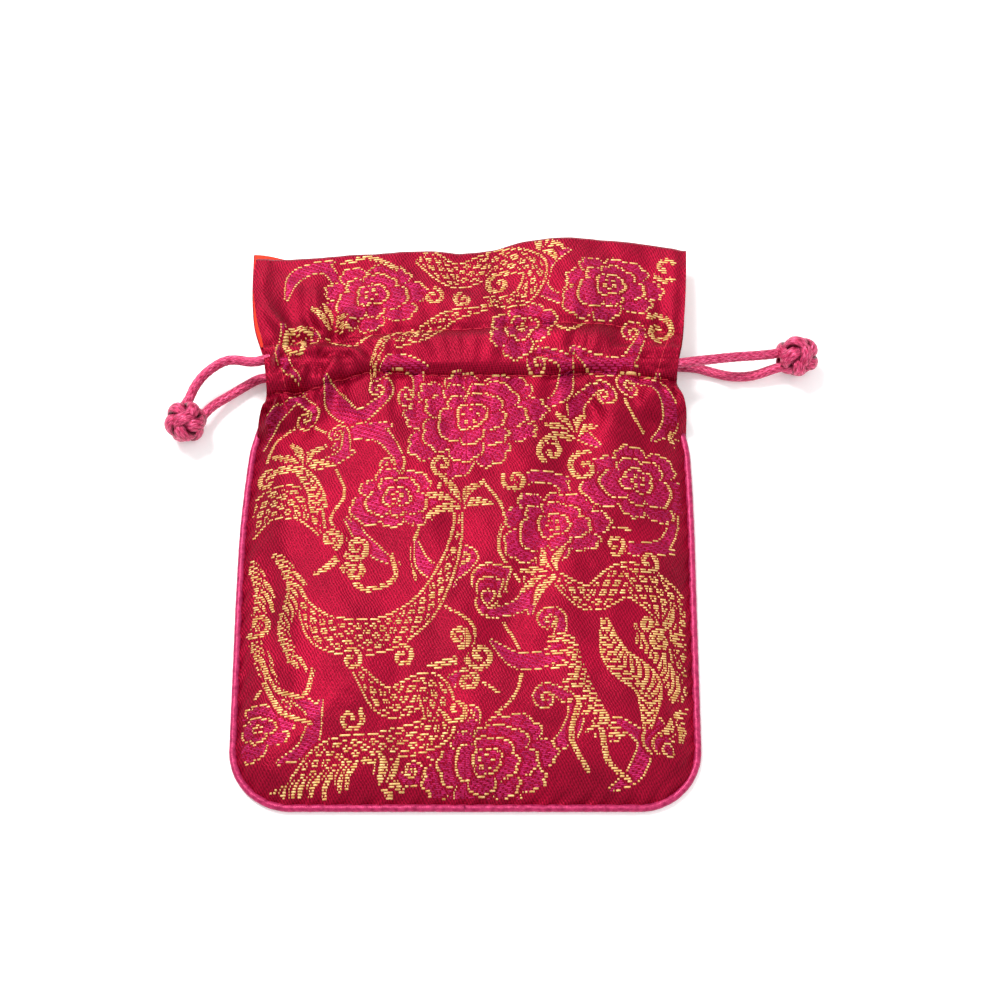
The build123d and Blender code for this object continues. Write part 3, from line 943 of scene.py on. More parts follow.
# Pink leaves: line, width, and the curl's radius and turns
LEAVES = (
    ([(-39, 38), (-35, 30), (-28, 25), (-22, 29)], 2.3, 3.2, 1.0),
    ([(-34, 17), (-29, 21), (-22, 20), (-17, 14)], 2.2, 3.0, -1.0),
    ([(-25, 34), (-20, 39), (-14, 37), (-13, 31)], 2.0, 2.8, -1.0),
    ([(11, -10), (16, -15), (14, -23), (7, -26)], 2.2, 3.0, -1.0),
    ([(6, -33), (13, -38), (21, -36), (23, -29)], 2.2, 3.2, 1.0),
    ([(-9, -55), (-17, -56), (-19, -62), (-14, -66)], 1.9, 2.6, 1.0),
    ([(18, -60), (24, -56), (26, -49), (21, -45)], 2.1, 2.9, 1.0),
    ([(27, 42), (34, 38), (42, 39), (45, 45)], 2.1, 2.9, 1.0),
    ([(26, 69), (20, 65), (19, 58), (24, 54)], 2.0, 2.7, 1.0),
    ([(33, 17), (28, 22), (28, 29), (33, 33)], 2.1, 2.9, -1.0),
    ([(46, 20), (51, 26), (49, 34), (43, 36)], 2.0, 2.8, 1.0),
    ([(-53, 20), (-51, 28), (-46, 33), (-41, 30)], 2.0, 2.8, -1.0),
    ([(-47, 60), (-44, 67), (-37, 69), (-33, 64)], 1.9, 2.5, -1.0),
    ([(-44, -62), (-37, -58), (-36, -50), (-41, -46)], 2.0, 2.8, 1.0),
    ([(34, -68), (40, -64), (42, -57), (37, -53)], 2.0, 2.8, 1.0),
    ([(-12, -8), (-10, -14), (-4, -17), (1, -14)], 1.9, 2.6, 1.0),
    ([(18, 28), (24, 31), (26, 38), (20, 41)], 2.0, 2.7, 1.0),
    ([(36, -6), (41, -9), (48, -7), (51, -1)], 1.9, 2.6, 1.0),
    ([(-16, -14), (-22, -10), (-27, -3), (-24, 2)], 1.7, 2.4, -1.0),
    ([(12, 6), (17, 9), (23, 8), (25, 3)], 1.7, 2.4, -1.0),
    ([(-42, 14), (-36, 13), (-31, 16), (-31, 21)], 1.6, 2.3, 1.0),
    ([(2, -40), (-4, -44), (-5, -50), (0, -53)], 1.6, 2.3, 1.0),
    ([(-46, 38), (-50, 43), (-48, 50), (-43, 51)], 1.7, 2.3, -1.0),
)
STEMS = (
    [(4, 8), (9, 0), (8, -10), (13, -18)],
    [(-6, 8), (-9, 0), (-13, -10), (-12, -18)],
    [(9, -28), (13, -36), (12, -46), (6, -52)],
    [(-38, 49), (-31, 45), (-24, 50)],
    [(20, 50), (26, 46), (31, 49)],
    [(-50, -46), (-46, -39), (-49, -32)],
    [(-36, 22), (-43, 26), (-49, 22), (-51, 15)],
    [(30, 2), (34, -3), (40, -4)],
    [(-33, 12), (-30, 5), (-33, -2), (-28, -8)],
    [(44, 22), (40, 30), (42, 38)],
    [(-6, -24), (2, -30), (1, -40), (8, -46)],
)
# Peonies: middle, radius, petals and rings of petals, and turn
PEONIES = (
    (-17, 3, 10.5, 7, 3, 1.5),
    (1, 24, 17.5, 9, 4, 0.3),
    (-25, 59, 13, 7, 3, 1.1),
    (21, -4, 12.5, 7, 3, 0.7),
    (42, 8, 12.5, 7, 3, 1.9),
    (5, -63, 15.5, 8, 4, 0.2),
    (36, 58, 12, 7, 3, 0.9),
    (-49, -54, 8.5, 6, 2, 0.4),
    (14, 47, 8.5, 6, 2, 0.1),
)
# Gold fringes: line, length and lean of the tongues
FRINGES = (
    ([(-54, -10), (-51, -19), (-52, -30), (-49, -40)], 7.0, -0.9),
    ([(-47, -10), (-43, -19), (-45, -29), (-42, -38)], 6.0, -0.8),
    ([(-48, -70), (-40, -66), (-32, -64), (-25, -62)], 6.5, 2.2),
    ([(26, -33), (29, -42), (33, -50), (38, -56)], 7.0, 2.4),
    ([(41, -33), (46, -39), (49, -47)], 5.5, 0.7),
    ([(-24, 40), (-22, 44), (-18, 47), (-13, 48)], 6.5, 1.4),
)
TENDRILS = (
    [(-49, -36), (-45, -44), (-38, -46), (-36, -40)],
    [(-48, -42), (-43, -50), (-36, -53)],
    [(27, -48), (25, -56), (29, -64)],
    [(32, -54), (34, -62), (39, -66)],
    [(-18, 67), (-25, 71), (-33, 70)],
    [(-30, -14), (-24, -20), (-17, -17), (-18, -11)],
)
# Gold curls: middle, radius, start and turns
SMALL_CURLS = (
    (-27, -38, 2.8, 2.0, -1.2),
    (-15, -37, 2.8, 1.6, -1.2),
    (-9, 58, 2.8, 1.4, -1.2),
    (-1, 57, 2.6, 1.8, 1.2),
    (36, -8, 2.8, 4.4, 1.2),
    (44, -12, 3.0, 4.0, 1.2),
    (-2, -50, 3.2, 3.3, 1.2),
    (-27, -52, 3.2, 0.8, -1.2),
    (12, 8, 3.4, 2.6, 1.2),
    (-6, 12, 3.0, 5.0, -1.2),
    (53, 22, 2.6, 2.2, 1.2),
    (-50, 10, 3.0, 0.4, 1.2),
)
LARGE_CURLS = (
    (-46, 47, 4.6, 0.5, 1.3),
    (49, 48, 4.4, 2.4, -1.3),
    (-50, -27, 4.0, 2.8, 1.2),
    (8, 61, 3.8, 0.9, 1.2),
    (50, 66, 4.0, 3.9, 1.2),
    (29, 12, 4.4, 1.2, 1.2),
    (21, 16, 3.6, 4.2, -1.2),
)
# Leaf sprays: place, heading, size, leaves and spread; a stalk lies over the first two
SPRAYS_UNDER = (
    (26, 20, 1.9, 7.0, 5, 2.4),
    (-42, 12, 1.7, 8.5, 5, 2.8),
)
SPRAYS_OVER = (
    (-2, 1, 1.8, 8.5, 5, 3.0),
    (21, -17, 2.7, 8.0, 5, 2.4),
    (-37, 52, 1.0, 6.0, 4, 2.0),
    (18, 70, 0.6, 6.0, 4, 2.2),
    (50, -50, -0.8, 6.5, 4, 2.4),
    (-20, -66, 0.2, 6.0, 4, 2.2),
)
# Gold ribbons: line, half-widths and texture
RIBBONS = (
    ([(-55, -4), (-49, 3), (-40, 2), (-35, -5)], [2.6, 4.2, 4.2, 1.2], scale_lines),
    (
        [(-40, -22), (-33, -31), (-21, -32), (-11, -26), (-5, -16), (-2, -4), (-2, 3)],
        [1.0, 4.2, 4.6, 3.8, 2.6, 1.6, 0.9],
        scale_lines,
    ),
    (
        [(-26, -40), (-18, -48), (-8, -45), (-6, -53), (-18, -58), (-32, -60), (-42, -69)],
        [1.2, 3.6, 4.0, 3.8, 3.4, 3.0, 1.4],
        scale_lines,
    ),
    (
        [(20, -16), (30, -22), (39, -17), (48, -22), (53, -32), (54, -46)],
        [1.2, 3.4, 4.6, 5.0, 4.6, 3.6],
        scale_lines,
    ),
    (
        [(-12, 71), (-3, 65), (8, 68), (17, 64), (14, 56), (4, 56)],
        [2.8, 4.0, 4.0, 3.4, 2.6, 1.2],
        scale_lines,
    ),
    ([(-20, 44), (-12, 47), (-4, 52), (5, 54)], [2.0, 2.4, 1.8, 0.9], scale_lines),
    ([(33, -27), (36, -37), (43, -43), (43, -54)], [0.8, 3.4, 3.4, 1.0], rib_lines),
)


def draw_leaves(cloth):
    """Pink leaves that wind between the blossoms."""
    for points, width, curl, turns in LEAVES:
        leaf_scroll(cloth, points, width, curl, turns)


def draw_stems(cloth):
    """Fine gold stems that join the leaves and blossoms."""
    for points in STEMS:
        stroke(cloth, points, [0.26, 0.3, 0.26], GOLD)


def draw_blossoms(cloth):
    """Peonies and buds, with the large one in the middle of the neck."""
    for peony in PEONIES:
        flower(cloth, *peony)
    bud(cloth, 5, -24, 6.5, 1.0)
    bud(cloth, 49, -60, 5.5, 1.9)


def draw_ribbons(cloth):
    """Gold ribbons that wind between the blossoms, scaled like a fish or ribbed like a fern."""
    for points, widths, texture in RIBBONS:
        stroke(cloth, points, widths, GOLD, GOLD, texture)


def draw_fringes(cloth):
    """Gold tongues along the ribbons, and long tendrils."""
    for points, length, lean in FRINGES:
        fringe(cloth, points, length, lean)
    for points in TENDRILS:
        stroke(cloth, points, [0.6, 0.6, 0.4], GOLD)


def draw_curls(cloth):
    """Gold curls and leaf sprays set between the larger shapes."""
    cloud(cloth, -31, -12, 5.4, 0.6)
    for curl in SMALL_CURLS:
        scroll(cloth, *curl, width=0.5)
    cloud(cloth, -2, -38, 5.6, 0.2)
    cloud(cloth, 48, -28, 4.2, -1.9)
    for curl in LARGE_CURLS:
        scroll(cloth, *curl)
    for leaves in SPRAYS_UNDER:
        spray(cloth, *leaves)
    stroke(cloth, [(-42, 12), (-38, 7), (-36, 1)], [1.3, 1.9, 2.3], GOLD, GOLD, rib_lines)
    for leaves in SPRAYS_OVER:
        spray(cloth, *leaves)


def brocade_pattern():
    """The pattern of one panel, as a raster of ground, gold and pink."""
    cloth = np.zeros((int(2 * REACH_Y / CELL_Y), int(2 * REACH_X / CELL_X)), np.uint8)
    draw_stems(cloth)
    draw_leaves(cloth)
    draw_blossoms(cloth)
    draw_ribbons(cloth)
    draw_fringes(cloth)
    draw_curls(cloth)
    return cloth


# ---------------------------------------------------------------- yarn floats

FLOAT_STATIONS = np.array([0.0, 0.14, 0.4, 0.6, 0.86, 1.0])
FLOAT_RISE = np.array([-0.3, 0.8, 1.0, 1.0, 0.8, -0.3])
FLOAT_TAPER = np.array([0.55, 1.0, 1.0, 1.0, 1.0, 0.55])
FLOAT_SECTION_Y = np.array([-0.5, -0.28, 0.28, 0.5])
FLOAT_SECTION_Z = np.array([0.0, 1.0, 1.0, 0.0])
FLOAT_SINK = 0.04  # depth of a float's underside in the ground
SEAM_MARGIN = 0.7  # clear ground between the floats and the seam
MOUTH_MARGIN = 0.3  # clear ground below the mouth edge


def float_runs(cloth, kind, every, tie_gap, tie_shift):
    """Start, end and row of each float of one colour, after its tie-downs."""
    picks = cloth[::every] == kind
    row, column = np.indices(picks.shape)
    tied = np.mod(column + tie_shift * row, tie_gap) == 0
    held = np.zeros_like(picks)
    held[:, 1:-1] = picks[:, :-2] & picks[:, 2:]
    picks &= ~(tied & held)
    padded = np.pad(picks, ((0, 0), (1, 1)))
    starts = np.nonzero(padded[:, 1:] & ~padded[:, :-1])
    ends = np.nonzero(padded[:, :-1] & ~padded[:, 1:])
    return starts[1] * CELL_X, ends[1] * CELL_X, (starts[0] * every + 0.5) * CELL_Y


def float_piece(name, side, cloth, surface, facing, kind, yarn, every, tie_gap, tie_shift, width, height):
    """The floats of one colour on half of a panel, as one mesh of closed strips."""
    middle = cloth.shape[1] // 2
    half_cloth = cloth[:, middle:] if side > 0 else cloth[:, :middle]
    start, end, row_y = float_runs(half_cloth, kind, every, tie_gap, tie_shift)
    shift = 0 if side > 0 else -REACH_X
    x = shift + start[:, None] + (end - start)[:, None] * FLOAT_STATIONS[None, :]
    y = row_y[:, None] - REACH_Y + GRAIN_SLOPE * x
    off_seam = (inside_distance(x, y) > SEAM_MARGIN).all(axis=1)
    inside = off_seam & (y < MOUTH_Y - MOUTH_MARGIN).all(axis=1)
    x, y = x[inside], y[inside]
    spread = width * FLOAT_TAPER[:, None] * FLOAT_SECTION_Y[None, :]
    lift = facing * height * FLOAT_RISE[:, None] * FLOAT_SECTION_Z[None, :] - facing * FLOAT_SINK
    points = surface(x[:, :, None] + 0 * spread, y[:, :, None] + spread, lift)
    stations, corners = len(FLOAT_STATIONS), len(FLOAT_SECTION_Y)
    one = grid_quads(stations, corners, closed=True)
    last = (stations - 1) * corners
    caps = np.array([[3, 2, 1, 0], [last, last + 1, last + 2, last + 3]])
    one = np.concatenate([one[:, ::-1], caps])
    if facing < 0:
        one = one[:, ::-1]
    quads = (one[None] + (np.arange(len(x)) * stations * corners)[:, None, None]).reshape(-1, 4)
    return make_piece(name, points.reshape(-1, 3), quads, yarn)


# The two colours of float: name, colour in the pattern, yarn and weave
FLOATS = (
    ("gold", GOLD, GOLD_YARN, dict(every=3, tie_gap=11, tie_shift=5, width=0.5, height=0.16)),
    ("pink", PINK, PINK_YARN, dict(every=2, tie_gap=8, tie_shift=3, width=0.35, height=0.07)),
)


# ---------------------------------------------------------------- pouch

# The cloth panels: surface, inset at the seam, mouth edge, columns in a half, and outer side's lift
BROCADE_PANELS = {
    "front_brocade": (front_surface, FRONT_INSET, MOUTH_Y, 76, 0),
    "back_brocade": (back_surface, SEAM_INSET, MOUTH_Y, 56, CLOTH),
}
LINING_PANELS = {
    "front_lining": (front_lining_surface, SEAM_INSET + 1.2, MOUTH_Y - 0.7, 44, 0),
    "back_lining": (back_lining_surface, SEAM_INSET + 0.3, MOUTH_Y - 0.2, 44, 0),
}


def half_name(side):
    """The half's name, from its side: -1 for the left and 1 for the right."""
    return "right" if side > 0 else "left"


def panel_pieces(panels, side, material):
    """One half of each given panel, by its node's name."""
    pieces = {}
    for node, (surface, inset, high, columns, lift) in panels.items():
        name = f"{node}_{half_name(side)}"
        pieces[node] = panel_half(name, side, surface, inset, high, material, columns, lift)
    return pieces


def float_pieces(panel, side, cloth, surface, facing):
    """The gold and the pink floats on one half of a brocade panel."""
    pieces = []
    for colour, kind, yarn, weave in FLOATS:
        name = f"{panel}_{colour}_{half_name(side)}"
        pieces.append(float_piece(name, side, cloth, surface, facing, kind, yarn, **weave))
    return pieces


def build_panels(cloth):
    """Brocade and lining, front and back, each in a left and a right half."""
    for side in (-1, 1):
        panels = panel_pieces(BROCADE_PANELS, side, BROCADE)
        linings = panel_pieces(LINING_PANELS, side, LINING)
        for lining in linings.values():
            cut_notch(lining, side)
        front_floats = float_pieces("front", side, cloth, front_surface, 1)
        back_floats = float_pieces("back", side, cloth[:, ::-1], back_surface, -1)
        for node, piece in (panels | linings).items():
            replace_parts(gathered(piece), node)
        for piece in front_floats + back_floats:
            gathered(piece)


PIPING_RADIUS = 0.9
PIPING_Z = 1.0  # height of its middle line
PIPING_RUN_ON = 1.6  # how far it goes on above the slit's foot
PIPING_TUCK = 1.3  # how far its ends turn in under the front panel
PIPING_STEP = 0.45
PIPING_SIDES = 20


def rounded_side(edge_x, edge_y, radius, top_y, counts):
    """Points down the right side, round the bottom corner and along the bottom to the middle line.

    counts is how finely the side, the corner and the bottom are divided.
    """
    down_count, turn_count, across_count = counts
    turn = np.linspace(0, math.pi / 2, turn_count)[1:]
    centre_y = BOTTOM_Y + CORNER_RADIUS
    down = np.stack([np.full(down_count, edge_x), np.linspace(top_y, centre_y, down_count)], axis=1)
    corner = np.stack([edge_x - radius + radius * np.cos(turn), centre_y - radius * np.sin(turn)], axis=1)
    inward = np.linspace(edge_x - radius, 0, across_count)[1:]
    across = np.stack([inward, np.full(across_count - 1, edge_y)], axis=1)
    return np.concatenate([down, corner, across])


def piping_wrinkles(length):
    """Relief of pulled satin along half of the piping, smooth where the halves meet at its far end."""

    def relief(along, angle):
        from_middle = length - along
        crease = np.sin(TAU * from_middle / 3.1 + angle) * np.sin(TAU * from_middle / 7.7 + 2 * angle)
        return 0.03 * crease * smoothstep(0, 5, from_middle)

    return relief


def build_piping():
    """Satin piping round the seam, in a left and a right half."""
    edge_x = HALF_WIDTH - PIPING_RADIUS
    bend = CORNER_RADIUS - PIPING_RADIUS
    plan = rounded_side(edge_x, BOTTOM_Y + PIPING_RADIUS, bend, SLIT_Y + PIPING_RUN_ON, (90, 40, 50))
    for side in (-1, 1):
        wobble = 0.16 * PIPING_WOBBLE(plan[:, 0] * side, plan[:, 1]) * smoothstep(0, 6, plan[:, 0])
        x, y = back_place(side * plan[:, 0], plan[:, 1])
        x = x - side * PIPING_TUCK * smoothstep(17, 30, y)
        line = respaced(np.stack([x, y, PIPING_Z + 0.5 * np.abs(wobble)], axis=1), PIPING_STEP)
        name = f"piping_{half_name(side)}"
        wrinkles = piping_wrinkles(lengths_along(line)[-1])
        piece = tube_piece(name, line, PIPING_RADIUS, PIPING_SIDES, PIPING, "piping_satin", wrinkles)
        gathered(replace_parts(piece, "piping_cover", "piping_cord"))


STITCH_LENGTH = 2.8
NEEDLE_HOLE = 0.35  # half-width of the dip at a needle hole
SEAM_DIP = 0.1
THREAD_RADIUS = 0.12
THREAD_STEP = 0.2
THREAD_SIDES = 6
HEM_GAP = 0.8  # from a hem's ends to the casing rows
ROW_GAP = 1.2  # from a casing row's end to the panel's edge
SEAM_STITCH_INSET = 4.0  # from the bottom edge of the pouch
SEAM_STITCH_Z = 0.9
# Stitching on each panel: surface, lift of the casing rows, lift of the hem, and dip at needle holes
STITCHED_PANELS = (
    ("front", front_surface, 0.12, 0.1, 0.35),
    ("back", back_surface, 0.0, 0.0, -0.35),
)


def stitched_line(line, dip):
    """The line of a row of stitches, which sinks where the needle went through."""
    from_hole = np.mod(lengths_along(line), STITCH_LENGTH) - STITCH_LENGTH / 2
    sunk = np.clip(bell(from_hole, NEEDLE_HOLE), 0, 1)
    line = line.copy()
    line[:, 2] -= dip * sunk
    return line


def thread_piece(name, line, dip, node):
    """One half of a row of stitching."""
    line = stitched_line(respaced(line, THREAD_STEP), dip)
    piece = tube_piece(name, line, THREAD_RADIUS, THREAD_SIDES, THREAD, "thread")
    gathered(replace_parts(piece, node))


def build_stitches():
    """Casing rows, hems at the casings' ends, and the seam, each in halves."""
    bend = CORNER_RADIUS - SEAM_STITCH_INSET
    plan = rounded_side(SEAM_STITCH_X, BOTTOM_Y + SEAM_STITCH_INSET, bend, SLIT_Y - 1, (160, 60, 2))
    hem_y = np.linspace(LOWER_STITCH_Y + HEM_GAP, UPPER_STITCH_Y - HEM_GAP, 80)
    for side in (-1, 1):
        half = half_name(side)
        row_x = side * (PANEL_HALF - ROW_GAP) * np.linspace(0, 1, 200)
        hem_x = side * np.linspace(HEM_FOOT_X, HEM_TOP_X, 80)
        for row, y in (("upper", UPPER_STITCH_Y), ("lower", LOWER_STITCH_Y)):
            for panel, surface, lift, _, dip in STITCHED_PANELS:
                line = surface(row_x, np.full_like(row_x, y), lift)
                thread_piece(f"{panel}_{row}_stitch_{half}", line, dip, f"{panel}_{row}_casing_stitch")
        for panel, surface, _, lift, dip in STITCHED_PANELS:
            line = surface(hem_x, hem_y, lift)
            thread_piece(f"{panel}_hem_stitch_{half}", line, dip, f"{panel}_{half}_slit_stitch")
        x, y = back_place(side * plan[:, 0], plan[:, 1])
        seam = np.stack([x, y, np.full(len(x), SEAM_STITCH_Z)], axis=1)
        thread_piece(f"seam_stitch_{half}", seam, SEAM_DIP, "side_seam_stitch")


# ---------------------------------------------------------------- cords

# Each free loop runs from the front casing's end through its knot and back to the back casing's end.
LEFT_LOOP = [
    (-LOOP_START_X, HIGH_LANE_Y, FRONT_CORD_Z),
    (-47.4, HIGH_LANE_Y, 10.5),
    (-50.2, 40.0, 10.7),
    (-54.0, 39.8, 9.9),
    (-57.4, 41.0, 9.0),
    (-60.8, 41.0, 8.3),
    (-65.4, 38.2, 7.1),
    (-68.1, 34.6, 6.2),
    (-69.3, 31.2, 5.8),
    (-71.2, 28.8, 5.6),
    (-72.4, 26.5, 5.4),
    (-72.3, 24.2, 5.2),
    (-70.9, 22.6, 5.0),
    (-68.8, 22.4, 4.9),
    (-67.2, 23.8, 4.7),
    (-66.2, 27.3, 4.3),
    (-63.6, 30.9, 3.5),
    (-59.6, 34.0, 2.5),
    (-55.6, 37.0, 2.1),
    (-52.2, 39.1, BACK_CORD_Z),
    (-49.0, LOW_LANE_Y, BACK_CORD_Z),
    (-LOOP_START_X, LOW_LANE_Y, BACK_CORD_Z),
]
RIGHT_LOOP = [
    (LOOP_START_X, LOW_LANE_Y, FRONT_CORD_Z),
    (EXIT_X, LOW_LANE_Y, FRONT_CORD_Z),
    (56.4, 39.9, 10.3),
    (61.4, 41.0, 9.3),
    (67.2, 42.4, 7.7),
    (72.8, 43.3, 6.5),
    (78.0, 44.2, 5.8),
    (81.6, 45.8, 5.4),
    (83.9, 46.0, 5.2),
    (85.7, 44.8, 5.1),
    (86.3, 42.8, 5.0),
    (85.3, 40.9, 4.9),
    (83.3, 40.4, 4.8),
    (80.3, 41.6, 4.4),
    (76.6, 40.9, 3.5),
    (72.0, 39.5, 2.4),
    (66.6, 39.5, 1.8),
    (61.4, 40.9, 1.7),
    (56.6, HIGH_LANE_Y, BACK_CORD_Z),
    (LOOP_START_X, HIGH_LANE_Y, BACK_CORD_Z),
]
LEFT_KNOT = (-69.8, 25.6, 5.6)
RIGHT_KNOT = (82.7, 43.6, 5.6)
HIDDEN_STEP = 0.3  # between rings of a cord in the casings
HIDDEN_SIDES = 28
CORD_STEP = 0.13  # between rings of a free loop
CORD_SIDES = 42  # of a free loop and of a knot's strands
PLAIT_STRANDS = 7
PLAIT_PITCH = 1.7
PLAIT_DEPTH = 0.1
KNOT_CENTRE_LINE = 3.8
KNOT_CORD_RADIUS = 1.68
KNOT_FLATNESS = 0.6
KNOT_WINDS = 3
KNOT_BIGHTS = 5
KNOT_RISE = 0.98  # how far the strand goes towards the knot's top and bottom, as an angle
KNOT_WEAVE = 0.9  # how far strands pass over and under each other
CROWN_LIFT = 0.9  # of the strand over a knot's top, above the others' middle line
CROWN_DROP = 1.5  # how much lower its ends are
CROWN_REACH = 0.75  # how far the strand over a knot's top reaches down each side, as an angle


def plait(along, angle):
    """Relief of a round plait: two sets of strands that cross over and under each other."""
    right = PLAIT_STRANDS * angle / TAU + along / PLAIT_PITCH
    left = PLAIT_STRANDS * angle / TAU - along / PLAIT_PITCH
    right_on_top = np.mod(np.floor(right) + np.floor(left), 2) == 0
    right_round = np.sqrt(np.clip(1 - (2 * np.mod(right, 1) - 1) ** 2, 0, 1))
    left_round = np.sqrt(np.clip(1 - (2 * np.mod(left, 1) - 1) ** 2, 0, 1))
    over = np.where(right_on_top, right_round, left_round)
    length = np.where(right_on_top, left_round, right_round)
    return PLAIT_DEPTH * (over**0.8 * (0.35 + 0.65 * length) - 1)


def spline_points(name, route):
    """Points read from a smooth NURBS spline that has the route as its control points."""
    curve = bpy.data.curves.new(name, "CURVE")
    curve.dimensions = "3D"
    spline = curve.splines.new("NURBS")
    spline.points.add(len(route) - 1)
    for control, place in zip(spline.points, route):
        control.co = (*[part * MM for part in place], 1)
    spline.order_u = 3
    spline.use_endpoint_u = True
    spline.resolution_u = 16
    holder = bpy.data.objects.new(name, curve)
    bpy.context.scene.collection.objects.link(holder)
    mesh = bpy.data.meshes.new_from_object(holder)
    points = np.zeros(len(mesh.vertices) * 3, np.float32)
    mesh.vertices.foreach_get("co", points)
    bpy.data.objects.remove(holder)
    bpy.data.meshes.remove(mesh)
    bpy.data.curves.remove(curve)
    return points.reshape(-1, 3).astype(float) / MM


def channel_points(side):
    """Middle line of a cord inside the casings: out along one, round the far slit, back along the other."""
    front_y, back_y = (HIGH_LANE_Y, LOW_LANE_Y) if side < 0 else (LOW_LANE_Y, HIGH_LANE_Y)
    far = -side * TURN_START_X
    middle = np.array([far, (front_y + back_y) / 2, (FRONT_CORD_Z + BACK_CORD_Z) / 2])
    radial = np.array([0, front_y - back_y, FRONT_CORD_Z - BACK_CORD_Z]) / 2
    outward = np.array([-side, 0, 0]) * np.linalg.norm(radial)
    turn = np.linspace(0, math.pi, 60)[:, None]
    bend = middle + np.cos(turn) * radial + np.sin(turn) * outward
    start = np.array([[side * LOOP_START_X, front_y, FRONT_CORD_Z]])
    end = np.array([[side * LOOP_START_X, back_y, BACK_CORD_Z]])
    return respaced(np.concatenate([start, bend, end]), HIDDEN_STEP)


def turned(points, tilt):
    """Points turned about X and then about Y."""
    turn_x, turn_y = tilt
    cos_x, sin_x = math.cos(turn_x), math.sin(turn_x)
    cos_y, sin_y = math.cos(turn_y), math.sin(turn_y)
    roll = np.array([[1, 0, 0], [0, cos_x, -sin_x], [0, sin_x, cos_x]])
    yaw = np.array([[cos_y, 0, sin_y], [0, 1, 0], [-sin_y, 0, cos_y]])
    return points @ (yaw @ roll).T


def knot_strand(name, line, ups, closed):
    """One flattened strand of a knot."""
    look = (CORD, "satin_cord", plait)
    return tube_piece(name, line, KNOT_CORD_RADIUS, CORD_SIDES, *look, ups, closed, KNOT_FLATNESS)


def knot_pieces(half, centre, tilt, spin):
    """Interlaced ball knot: a closed strand that winds over and under itself, and one over its top."""
    t = np.linspace(0, TAU, 480, endpoint=False)
    around = KNOT_WINDS * t + spin
    height = KNOT_RISE * np.cos(KNOT_BIGHTS * t)
    reach = KNOT_CENTRE_LINE + KNOT_WEAVE * np.sin(2 * KNOT_BIGHTS * t)
    level = np.cos(height)
    unit = turned(np.stack([level * np.cos(around), level * np.sin(around), np.sin(height)], axis=1), tilt)
    ball = knot_strand(f"{half}_knot", np.array(centre) + unit * reach[:, None], unit, True)
    sweep = np.linspace(-CROWN_REACH, CROWN_REACH, 60)
    arc = np.stack([np.sin(sweep) * math.cos(spin), np.sin(sweep) * math.sin(spin), np.cos(sweep)], axis=1)
    arc = turned(arc, tilt)
    rise = KNOT_CENTRE_LINE + CROWN_LIFT - CROWN_DROP * (sweep / CROWN_REACH) ** 2
    crown = knot_strand(f"{half}_knot_crown", np.array(centre) + arc * rise[:, None], arc, False)
    return ball, crown


def cord_tube(name, path, sides):
    """A plaited cord along a path."""
    return tube_piece(name, path, CORD_DIAMETER / 2, sides, CORD, "satin_cord", plait)


def build_drawstring(side, route, centre, tilt, spin):
    """One cord: its stretch in the casings, its free loop, and its knot as it lies tilted and spun."""
    half = half_name(side)
    body = f"{half}_drawstring"
    hidden = cord_tube(f"{half}_cord_in_casing", channel_points(side), HIDDEN_SIDES)
    path = respaced(spline_points(f"{half}_route", route), CORD_STEP)
    loop = cord_tube(f"{half}_cord_loop", path, CORD_SIDES)
    knot, crown = knot_pieces(half, centre, tilt, spin)
    knot_node = f"{half}_button_knot"
    for piece, node in ((hidden, body), (loop, f"{half}_pull_loop"), (knot, knot_node), (crown, knot_node)):
        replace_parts(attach(piece, body), node)


# ---------------------------------------------------------------- surroundings


FLOOR_REACH = 30000.0
WORLD_STRENGTH = 0.74
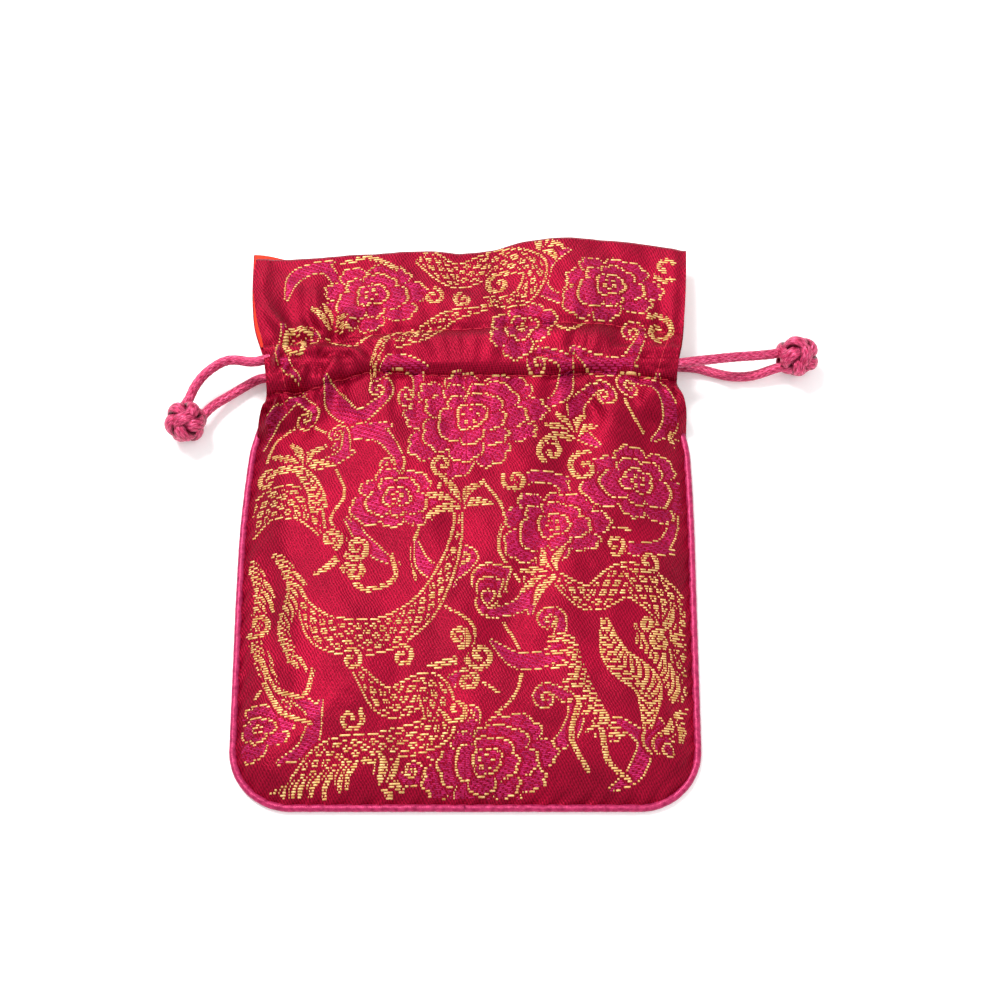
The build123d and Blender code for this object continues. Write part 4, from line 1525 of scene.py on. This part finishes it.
# Soft square lights: name, place, size and power
LIGHTS = (
    ("key", (-480, 620, 1150), 420, 19.0),
    ("fill", (400, -300, 1100), 700, 3.5),
)
CAMERA_TARGET = (8.23, 6.9, 0.0)
CAMERA_DISTANCE = 600.0
CAMERA_TILT = math.radians(22)  # from straight above
CAMERA_LENS = 87.3
CAMERA_SENSOR = 36


def build_floor():
    """Plain white surface under the pouch."""
    corners = FLOOR_REACH * np.array([(-1, -1, 0), (1, -1, 0), (1, 1, 0), (-1, 1, 0)])
    floor = make_piece("floor", corners, np.array([[0, 1, 2, 3]]), floor_material())


def aimed(direction):
    """Rotation that points an object's -Z along a direction."""
    x, y, z = direction / np.linalg.norm(direction)
    return (math.acos(-z), 0, math.atan2(-x, y))


def add_light(name, place, size, power):
    """Soft square light turned towards the middle of the pouch."""
    light = bpy.data.lights.new(name, "AREA")
    light.size = size * MM
    light.energy = power
    lamp = bpy.data.objects.new(name, light)
    bpy.context.scene.collection.objects.link(lamp)
    lamp.location = [part * MM for part in place]
    lamp.rotation_euler = aimed(-np.array(place, float))


def build_lights():
    """White surroundings, a soft key light from the upper left and a weak fill from the lower right."""
    world = bpy.data.worlds.new("studio")
    world.use_nodes = True
    background = world.node_tree.nodes["Background"].inputs
    background["Color"].default_value = (1, 1, 1, 1)
    background["Strength"].default_value = WORLD_STRENGTH
    bpy.context.scene.world = world
    for light in LIGHTS:
        add_light(*light)


def build_camera():
    """Camera above the pouch, tilted back a little, as in the photograph."""
    camera = bpy.data.cameras.new("camera")
    camera.lens = CAMERA_LENS
    camera.sensor_width = CAMERA_SENSOR
    holder = bpy.data.objects.new("camera", camera)
    bpy.context.scene.collection.objects.link(holder)
    away = np.array([0, -math.sin(CAMERA_TILT), math.cos(CAMERA_TILT)])
    holder.location = (np.array(CAMERA_TARGET) + CAMERA_DISTANCE * away) * MM
    holder.rotation_euler = (CAMERA_TILT, 0, 0)
    bpy.context.scene.camera = holder


build_camera()
build_lights()
build_floor()
build_drawstring(-1, LEFT_LOOP, LEFT_KNOT, (0.25, -0.05), 0.4)
build_drawstring(1, RIGHT_LOOP, RIGHT_KNOT, (0.35, 0.45), 1.6)
build_piping()
build_stitches()
build_panels(brocade_pattern())
bpy.context.scene.view_settings.view_transform = "Standard"
